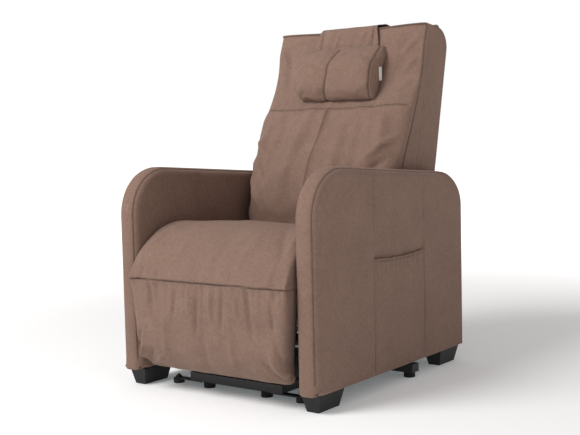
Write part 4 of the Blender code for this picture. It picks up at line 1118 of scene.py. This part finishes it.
def even_cells(name, bm):
    """An object with bm's shape, remeshed into even cells."""
    mesh = bpy.data.meshes.new(name)
    bm.to_mesh(mesh)
    bm.free()
    obj = bpy.data.objects.new(name, mesh)
    bpy.context.scene.collection.objects.link(obj)
    bpy.context.view_layer.objects.active = obj
    mesh.remesh_voxel_size = VOXEL
    with bpy.context.temp_override(object=obj, active_object=obj, selected_objects=[obj]):
        bpy.ops.object.voxel_remesh()
    return obj


def pin(obj, weights):
    """A vertex group that holds each point by its weight, from 0 to 1."""
    group = obj.vertex_groups.new(name="seams")
    for index, weight in enumerate(weights):
        group.add([index], float(weight), "REPLACE")
    return group


def add_skin(obj, group):
    cloth = obj.modifiers.new("cloth", "CLOTH")
    cloth.settings.vertex_group_mass = group.name
    cloth.settings.use_pressure = True
    cloth.settings.uniform_pressure_force = PRESSURE
    cloth.settings.effector_weights.gravity = 0.0
    cloth.settings.tension_stiffness = STIFF
    cloth.settings.compression_stiffness = STIFF
    cloth.settings.bending_stiffness = 0.5
    cloth.point_cache.frame_start = 1
    cloth.point_cache.frame_end = FRAMES
    return cloth


def blow_up(name, bm, held):
    """Simulates bm as an inflated skin. held gives how firmly each point is held, 0 to 1."""
    obj = even_cells(name, bm)
    start = np.array([vert.co for vert in obj.data.vertices])
    cloth = add_skin(obj, pin(obj, held(start)))
    scene = bpy.context.scene
    for step in range(1, FRAMES + 1):
        scene.frame_set(step)
    graph = bpy.context.evaluated_depsgraph_get()
    moved = np.array([vert.co for vert in obj.evaluated_get(graph).data.vertices])
    shift = moved - start
    length = np.linalg.norm(shift, axis=1)[:, None]
    shift *= np.minimum(1.0, FURTHEST / np.maximum(length, 1e-9))
    obj.modifiers.remove(cloth)
    scene.frame_set(1)
    made = bmesh.new()
    made.from_mesh(obj.data)
    bpy.data.objects.remove(obj)
    put(made, start + shift)
    bmesh.ops.subdivide_edges(made, edges=made.edges, cuts=1, use_grid_fill=True)
    bmesh.ops.smooth_vert(made, verts=made.verts, factor=0.5, use_axis_x=True, use_axis_y=True,
                          use_axis_z=True)
    print(name, "moved up to", round(float(np.linalg.norm(shift, axis=1).max()) * 1000, 1), "mm")
    return made


print("a cloth skin blows up over", FRAMES, "frames, by no more than", FURTHEST, "m")

# %% [markdown]
# The pillow is round and soft at its left end, and has a flatter oval panel at the right one,
# where the tag is. A sewn channel runs down its middle, and short folds run out from it. The
# shape starts as a cube whose square section is squeezed to a round one, which leaves no pole.

# %% The shape of the head pillow
PILLOW_MIDDLE = 0.490       # height of its middle, above the pivot
PILLOW_TALL = 0.091         # half its height
PILLOW_DEEP = 0.040         # half its depth
PILLOW_BEHIND = -0.174      # where its middle lies, behind the pivot
CHANNEL = ((-0.0175, 0.400), (0.006, 0.578))        # from (x, height) to (x, height)
CHANNEL_DEEP = 0.0050
PANEL_DEEP = 0.0022         # how far the seam of the right end pulls in
PILLOW_FOLDS = [
    ((-0.012, 0.440), (-0.085, 0.425), 0.010, 0.0030),
    ((-0.010, 0.470), (-0.070, 0.520), 0.009, -0.0026),
    ((-0.008, 0.500), (-0.095, 0.560), 0.011, 0.0028),
    ((-0.005, 0.455), (0.060, 0.430), 0.009, -0.0026),
    ((-0.004, 0.485), (0.075, 0.500), 0.011, 0.0030),
    ((0.002, 0.530), (0.070, 0.560), 0.009, -0.0024),
    ((-0.130, 0.410), (-0.075, 0.470), 0.010, 0.0032),
    ((0.145, 0.440), (0.090, 0.410), 0.010, 0.0030),
    ((0.150, 0.520), (0.095, 0.545), 0.009, -0.0024),
    ((-0.060, 0.580), (-0.050, 0.520), 0.008, -0.0024),
    ((0.050, 0.580), (0.045, 0.530), 0.008, -0.0024),
]


def pillow_ends(above):
    """The x of the left and the right end, at a height above the pivot."""
    left = -0.156 + 0.034 * np.clip((0.516 - above) / 0.116, 0.0, 1.2) ** 2
    left = left + 0.022 * np.clip((above - 0.535) / 0.047, 0.0, 1.2) ** 2
    right = 0.1535 + 0.0050 * smooth(above, 0.42, 0.53)
    return left, right - 0.008 * np.clip((above - 0.550) / 0.032, 0.0, 1.2) ** 2


def pillow_shape():
    """A stuffed roll: soft and round at the left end, with a flatter oval end at the right."""
    turns = np.linspace(-1.0, 1.0, 30)
    bm = grid_block(np.linspace(-1.0, 1.0, 80), turns, turns)
    x, out, up = points_of(bm).T
    deep = out * np.sqrt(1.0 - up ** 2 / 2)
    tall = up * np.sqrt(1.0 - out ** 2 / 2)
    left_end = 0.50 + 0.50 * np.sqrt(1.0 - np.clip(-x, 0.0, 1.0) ** 5)
    right_end = 0.55 + 0.45 * np.sqrt(1.0 - np.clip(x, 0.0, 1.0) ** 7)
    above = PILLOW_MIDDLE + tall * PILLOW_TALL * (0.6 + 0.4 * left_end)
    behind = PILLOW_BEHIND + 0.030 * smooth(above, 0.50, 0.58) + 0.022 * (1.0 - right_end)
    behind = behind + deep * PILLOW_DEEP * left_end * right_end
    left, right = pillow_ends(above)
    side = left + (right - left) * (x + 1.0) / 2
    side = side + 0.004 * x * (1.0 - out ** 2) * (1.0 - up ** 2) * (np.abs(x) > 0.999)
    lay_on_back(bm, side, behind, above)
    bmesh.ops.recalc_face_normals(bm, faces=bm.faces)
    return bm


pillow_mesh = pillow_shape()
print("head pillow:", len(pillow_mesh.verts), "vertices before it is blown up")

# %% [markdown]
# The channel and the folds are pressed in first, and the seams are pinned while the pillow is
# blown up, so that it swells between them. Behind, it lies against the back cushion, and any
# point that would sink into that is held in front of it.

# %% The head pillow
def places_on_back(points):
    """(x, behind, above) of each point: lay_on_back the other way round."""
    dy, dz = points[:, 1] - BACK_PIVOT[1], points[:, 2] - BACK_PIVOT[2]
    return (points[:, 0], dy * math.cos(LEAN) - dz * math.sin(LEAN),
            dy * math.sin(LEAN) + dz * math.cos(LEAN))


def pillow_seams(points):
    """(distance from the channel, distance from the seam of the right end) of each point."""
    x, behind, above = places_on_back(points)
    (low_x, low), (high_x, high) = CHANNEL
    lean = (high_x - low_x) / (high - low)
    channel = np.abs(x - low_x - lean * (above - low))
    return np.where(behind < -0.165, channel, 1.0), np.abs(x - pillow_ends(above)[1] + 0.008)


def press_pillow(bm):
    """The channel down the middle and the folds that run out from it."""
    points = points_of(bm)
    x, behind, above = places_on_back(points)
    channel, ends = pillow_seams(points)
    rise = -CHANNEL_DEEP * np.exp(-channel / 0.011) - PANEL_DEEP * np.exp(-ends / 0.006)
    front = smooth(-behind, 0.165, 0.185)
    for start, end, width, height in PILLOW_FOLDS:
        rise = rise + fold(x, above, start, end, width, height) * front
    rise = rise + 0.0012 * lumps(points, 71, 0.05)
    put(bm, points + normals_of(bm) * rise[:, None])


def held_at_seams(points):
    channel, ends = pillow_seams(points)
    return np.clip(np.exp(-(np.minimum(channel, ends) / 0.004) ** 2), 0.0, 1.0)


def keep_off_cushion(bm, gap=0.0015):
    """Holds every point of the pillow in front of the cushion behind it."""
    x, behind, above = places_on_back(points_of(bm))
    front = curve_through([(high, far) for far, high in CUSHION_FRONT], above)
    lay_on_back(bm, x, np.minimum(behind, front - gap), above)


press_pillow(pillow_mesh)
pillow_mesh = blow_up("pillow_skin", pillow_mesh, held_at_seams)
keep_off_cushion(pillow_mesh)
channel_gap, end_gap = pillow_seams(points_of(pillow_mesh))
sew_at(pillow_mesh, np.maximum(np.minimum(channel_gap, end_gap) - 0.0010, 0.0),
       places_on_back(points_of(pillow_mesh))[2], 0.0006, 0.0035)
PILLOW = piece("head_pillow", pillow_mesh, SUEDE)
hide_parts("headrest_pillow")
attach(PILLOW, "headrest")


# %% [markdown]
# The pillow hangs on a flap of the same cloth, which lies over the top of the back and is
# sewn into the pillow. It is a sheet, so it is a grid block one thin cell deep, laid along a
# path and rippled where it gathers towards the pillow.

# %% The flap that holds the pillow
FLAP_MIDDLE = 0.0115
FLAP_HALF = 0.1020          # half its width at the rear
FLAP_SPREAD = 0.0180        # how much wider, on each side, it is at the pillow
FLAP_CLOTH = 0.0016
FLAP_HEM = 0.0965           # from its middle to each side seam
FLAP_PATH = [(-0.036, 0.6712), (-0.0700, 0.6690), (-0.0950, 0.6620), (-0.1130, 0.6570),
             (-0.1270, 0.6500), (-0.1345, 0.6380), (-0.1365, 0.6190), (-0.1365, 0.6000),
             (-0.1380, 0.5850), (-0.1430, 0.5740)]


def make_flap():
    """A strip of cloth from behind the top edge, over it, and down to the pillow."""
    bm = grid_block(np.linspace(-1.0, 1.0, 64), [0.0, 1.0], np.linspace(0.0, 1.0, 60))
    across, thick, share = points_of(bm).T
    behind, above = along_line(FLAP_PATH, share)
    x = FLAP_MIDDLE + across * (FLAP_HALF + FLAP_SPREAD * smooth(share, 0.35, 1.0))
    ripple = 0.0030 * waves(x + 0.05 * share, 61, 0.030) * smooth(share, 0.45, 0.95)
    ripple += 0.0016 * waves(x, 62, 0.060) * smooth(share, 0.30, 0.50)
    ripple += fold(x, share, (-0.095, 0.50), (0.010, 0.80), 0.010, 0.0040)
    ripple += fold(x, share, (0.120, 0.52), (0.040, 0.86), 0.010, 0.0035)
    lifted = smooth(share, 0.05, 0.30) * (1.0 - smooth(share, 0.6, 0.9))
    ripple += 0.0025 * smooth(across, 0.90, 1.0) * lifted
    out = np.maximum(ripple, -0.0006) + FLAP_CLOTH * thick
    over = 1.0 - smooth(share, 0.25, 0.45)
    lay_on_back(bm, x, behind - out * (1.0 - 0.9 * over), above + out * over)
    bmesh.ops.recalc_face_normals(bm, faces=bm.faces)
    return bm


flap_mesh = make_flap()
flap_points = points_of(flap_mesh)
from_hem = np.abs(np.abs(flap_points[:, 0] - FLAP_MIDDLE) - FLAP_HEM)
sew_at(flap_mesh, from_hem, flap_points[:, 2], 0.0004, 0.0020)
FLAP = piece("pillow_flap", flap_mesh, SUEDE)
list(on_back(-0.112, 0.657))
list(on_back(-0.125, 0.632))
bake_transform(FLAP)

# %% [markdown]
# A small woven tag is sewn into the seam of the pillow's right end. It is plain, a little
# wavy, and paler than anything else on the chair.

# %% The tag
def make_tag():
    low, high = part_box("pillow_tag")
    bm = grid_block(np.linspace(low.x - 0.0005, high.x + 0.0006, 3), np.linspace(low.y, high.y, 8),
                    np.linspace(low.z, high.z, 10))
    x, y, z = points_of(bm).T
    put(bm, np.column_stack([x + 0.0012 * np.sin((y - low.y) * 160), y, z]))
    return bm


def tag_cloth():
    weave = Finish("tag_cloth", 0.8)
    where = weave.place()
    rows = weave.node("ShaderNodeTexWave", {"bands_direction": "Z"}, {"Vector": where, "Scale": 420.0})
    grain = weave.noise(600.0, 2.0)
    weave.color(weave.tint(grain.step(0.3, 0.7), (206, 206, 202), (228, 228, 224)))
    weave.bump(rows * 0.6 + grain * 0.4, 0.4, 0.0006)
    return weave.material


TAG = piece("pillow_side_tag", make_tag(), tag_cloth())
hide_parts("pillow_tag")
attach(TAG, "headrest")

# %% [markdown]
# The panel across the back, between the arms, is a board with thin foam under the cloth. Its
# edges are rolled like the arms' edges. roll_edges rolls the edges round the x direction, so
# the panel goes through it turned, with its thickness as x.

# %% The rear panel
PANEL_EDGE = 0.007
PANEL_SEAM_INSET = 0.004


def panel_seam(low, high):
    """All the way round the outside of the panel."""
    left, right = low.x + PANEL_SEAM_INSET, high.x - PANEL_SEAM_INSET
    foot, head = low.z + PANEL_SEAM_INSET, high.z - PANEL_SEAM_INSET
    corners = ((left, foot), (right, foot), (right, head), (left, head), (left, foot))
    return [(x, high.y, z) for x, z in corners]


def make_rear_panel():
    low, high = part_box("rear_panel")
    middle, half = (low + high) / 2, (high - low) / 2
    xs = spaced(low.x, high.x, 0.012, 0.008, 4)
    zs = spaced(low.z, high.z, 0.012, 0.008, 4)
    bm = grid_block(xs, spaced(-half.y, half.y, 0.005), zs)
    x, y, z = points_of(bm).T
    rim = np.array([(low.x, low.z), (high.x, low.z), (high.x, high.z), (low.x, high.z)])
    rolled, depth, on_side = roll_edges(np.column_stack([y, x, z]), half.y, rim,
                                        even_roll(PANEL_EDGE))
    swell = 0.0010 * (1.0 - np.exp(-depth / 0.04)) * on_side
    put(bm, np.column_stack([rolled[:, 1], rolled[:, 0] + np.sign(y) * swell + middle.y, rolled[:, 2]]))
    bmesh.ops.recalc_face_normals(bm, faces=bm.faces)
    sew(bm, [panel_seam(low, high)], 0.0008, 0.0025)
    return bm


REAR = piece("rear_panel_cover", make_rear_panel(), SUEDE)
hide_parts("rear_panel")
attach(REAR, "chair")

# %% [markdown]
# The hard parts keep their shape and get their finish here. Powder coat has a fine orange
# peel; moulded plastic is duller and grained; plywood shows its face veneer; rubber is
# almost flat. The chromed rods need only tiny streaks along their length.

# %% Finishes of the frame
def powder_coat():
    paint = Finish("black_powder_coat", 0.42)
    peel = paint.noise(420.0, 2.0)
    worn = paint.noise(14.0, 4.0, 0.65)
    paint.color(paint.tint(worn.step(0.35, 0.7), (24, 25, 26), (34, 35, 36)))
    paint.rough(0.36 + worn * 0.20)
    paint.bump(peel, 0.25, 0.0006)
    return paint.material


def moulded(name, low, high, roughness):
    plastic = Finish(name, roughness)
    grain = plastic.noise(700.0, 2.0)
    cloud = plastic.noise(22.0, 3.0)
    plastic.color(plastic.tint(cloud.step(0.3, 0.7), low, high))
    plastic.rough(roughness + cloud * 0.10)
    plastic.bump(grain, 0.30, 0.0005)
    return plastic.material


def chrome():
    bright = Finish("polished_chrome", 0.12, metallic=1.0)
    streak = bright.noise(60.0, 3.0, stretch=(1.0, 12.0, 12.0))
    bright.color(bright.tint(streak.step(0.3, 0.7), (176, 178, 182), (206, 208, 212)))
    bright.rough(0.08 + streak * 0.12)
    return bright.material


def plywood():
    board = Finish("sanded_plywood", 0.7)
    rings = board.noise(9.0, 4.0, 0.6, stretch=(0.35, 4.0, 4.0), twist=0.8)
    fibre = board.noise(160.0, 3.0, 0.6, stretch=(0.12, 1.0, 1.0))
    grain = rings * 0.65 + fibre * 0.35
    board.color(board.tint(grain.step(0.3, 0.7), (168, 130, 92), (204, 172, 132)))
    board.rough(0.62 + fibre * 0.2)
    board.bump(fibre, 0.3, 0.0006)
    return board.material


FINISHES = {
    "frame_steel": powder_coat(),
    "pad_rubber": moulded("pad_rubber", (20, 20, 20), (30, 30, 30), 0.80),
    "foot_plastic": moulded("foot_plastic", (14, 15, 15), (21, 22, 22), 0.55),
    "drive_plastic": moulded("drive_plastic", (30, 31, 34), (42, 43, 46), 0.50),
    "chrome": chrome(),
    "plywood": plywood(),
    "suede": SUEDE,
    "tag_weave": TAG.data.materials[0],
}
for row in frame["record"]["subparts"]:
    node = frame["nodes"][row["node"]]
    node.data.materials.clear()
    node.data.materials.append(FINISHES[row["material_slot"]])

# %% [markdown]
# The stage is a wide pale floor. One large soft light stands in front and to the left, so
# the front is bright and the outside of the right arm falls into even shade. A weak one on the
# right stands for light that comes back from a wall. The world fills in the rest, as a white
# room does. The floor glows a little, more so far from the chair, so that it ends in plain
# white with no edge, and the chair still has a soft shadow round its feet.

# %% Floor and light
GLOW_NEAR = (0.11, 0.125, 0.13, 1.0)
GLOW_FAR = (0.8, 0.8, 0.8, 1.0)


def make_floor():
    bm = bmesh.new()
    bmesh.ops.create_grid(bm, x_segments=8, y_segments=8, size=20.0)
    paint = Finish("floor_paint", 0.9)
    cloud = paint.noise(0.6, 2.0)
    paint.color(paint.tint(cloud, (250, 250, 250), (253, 253, 253)))
    away = paint.node("ShaderNodeVectorMath", {"operation": "LENGTH"}, {0: paint.place()}, 1)
    glow = paint.over(away.step(1.0, 4.0), GLOW_NEAR, GLOW_FAR)
    paint.feed(paint.shader.inputs["Emission Color"], glow)
    paint.shader.inputs["Emission Strength"].default_value = 1.0
    mesh = bpy.data.meshes.new("floor")
    bm.to_mesh(mesh)
    bm.free()
    mesh.materials.append(paint.material)
    floor = bpy.data.objects.new("floor", mesh)
    bpy.context.scene.collection.objects.link(floor)


def soft_light(name, place, target, size, power):
    lamp = bpy.data.lights.new(name, "AREA")
    lamp.shape = "DISK"
    lamp.size = size
    lamp.energy = power
    obj = bpy.data.objects.new(name, lamp)
    obj.location = place
    obj.rotation_euler = (Vector(target) - Vector(place)).to_track_quat("-Z", "Y").to_euler()
    bpy.context.scene.collection.objects.link(obj)


def white_room(fill):
    """A white world that lights the scene with that strength and looks fully white itself."""
    world = bpy.data.worlds.new("white_room")
    world.use_nodes = True
    tree = world.node_tree
    rays = tree.nodes.new("ShaderNodeLightPath")
    seen = tree.nodes.new("ShaderNodeMath")
    seen.operation = "MAXIMUM"
    seen.inputs[1].default_value = fill
    tree.links.new(rays.outputs["Is Camera Ray"], seen.inputs[0])
    tree.links.new(seen.outputs[0], tree.nodes["Background"].inputs["Strength"])
    shade = tree.nodes.new("ShaderNodeMix")
    shade.data_type = "RGBA"
    shade.inputs[6].default_value = (1.0, 0.94, 0.92, 1.0)
    shade.inputs[7].default_value = (1.0, 1.0, 1.0, 1.0)
    tree.links.new(rays.outputs["Is Camera Ray"], shade.inputs[0])
    tree.links.new(shade.outputs[2], tree.nodes["Background"].inputs["Color"])
    bpy.context.scene.world = world


make_floor()
soft_light("window", (-1.4, -3.0, 3.7), (0.0, 0.0, 0.7), 2.4, 160.0)
soft_light("wall", (3.2, -1.6, 2.4), (0.0, 0.0, 0.6), 2.8, 8.0)
white_room(0.42)
bpy.context.scene.view_settings.view_transform = "Standard"
print("a floor, a white room and", len(bpy.data.lights), "lights")

# %% [markdown]
# The camera stands well back with a long lens, to the right of the chair's front and a little
# above its arms, and looks down by a few degrees. Its matrix is built from three directions,
# which avoids guessing at Euler angles.

# %% Camera
CAMERA_AT = (1.8481, -2.5431, 0.7146)
CAMERA_TURN = (math.radians(36.54), math.radians(4.40), -0.0239)    # yaw, pitch and roll
LENS = 64.1


def make_camera():
    yaw, pitch, roll = CAMERA_TURN
    forward = Vector((-math.sin(yaw) * math.cos(pitch), math.cos(yaw) * math.cos(pitch),
                      -math.sin(pitch)))
    flat = Vector((math.cos(yaw), math.sin(yaw), 0.0))
    upward = flat.cross(forward)
    right = flat * math.cos(roll) + upward * math.sin(roll)
    top = -flat * math.sin(roll) + upward * math.cos(roll)
    turned = Matrix((right, top, -forward)).transposed().to_4x4()
    lens = bpy.data.cameras.new("camera")
    lens.lens = LENS
    lens.clip_end = 100.0
    camera = bpy.data.objects.new("camera", lens)
    camera.matrix_world = Matrix.Translation(CAMERA_AT) @ turned
    bpy.context.scene.collection.objects.link(camera)
    bpy.context.scene.camera = camera


make_camera()
print("camera", round(Vector(CAMERA_AT[:2]).length, 2), "m from the chair's middle")
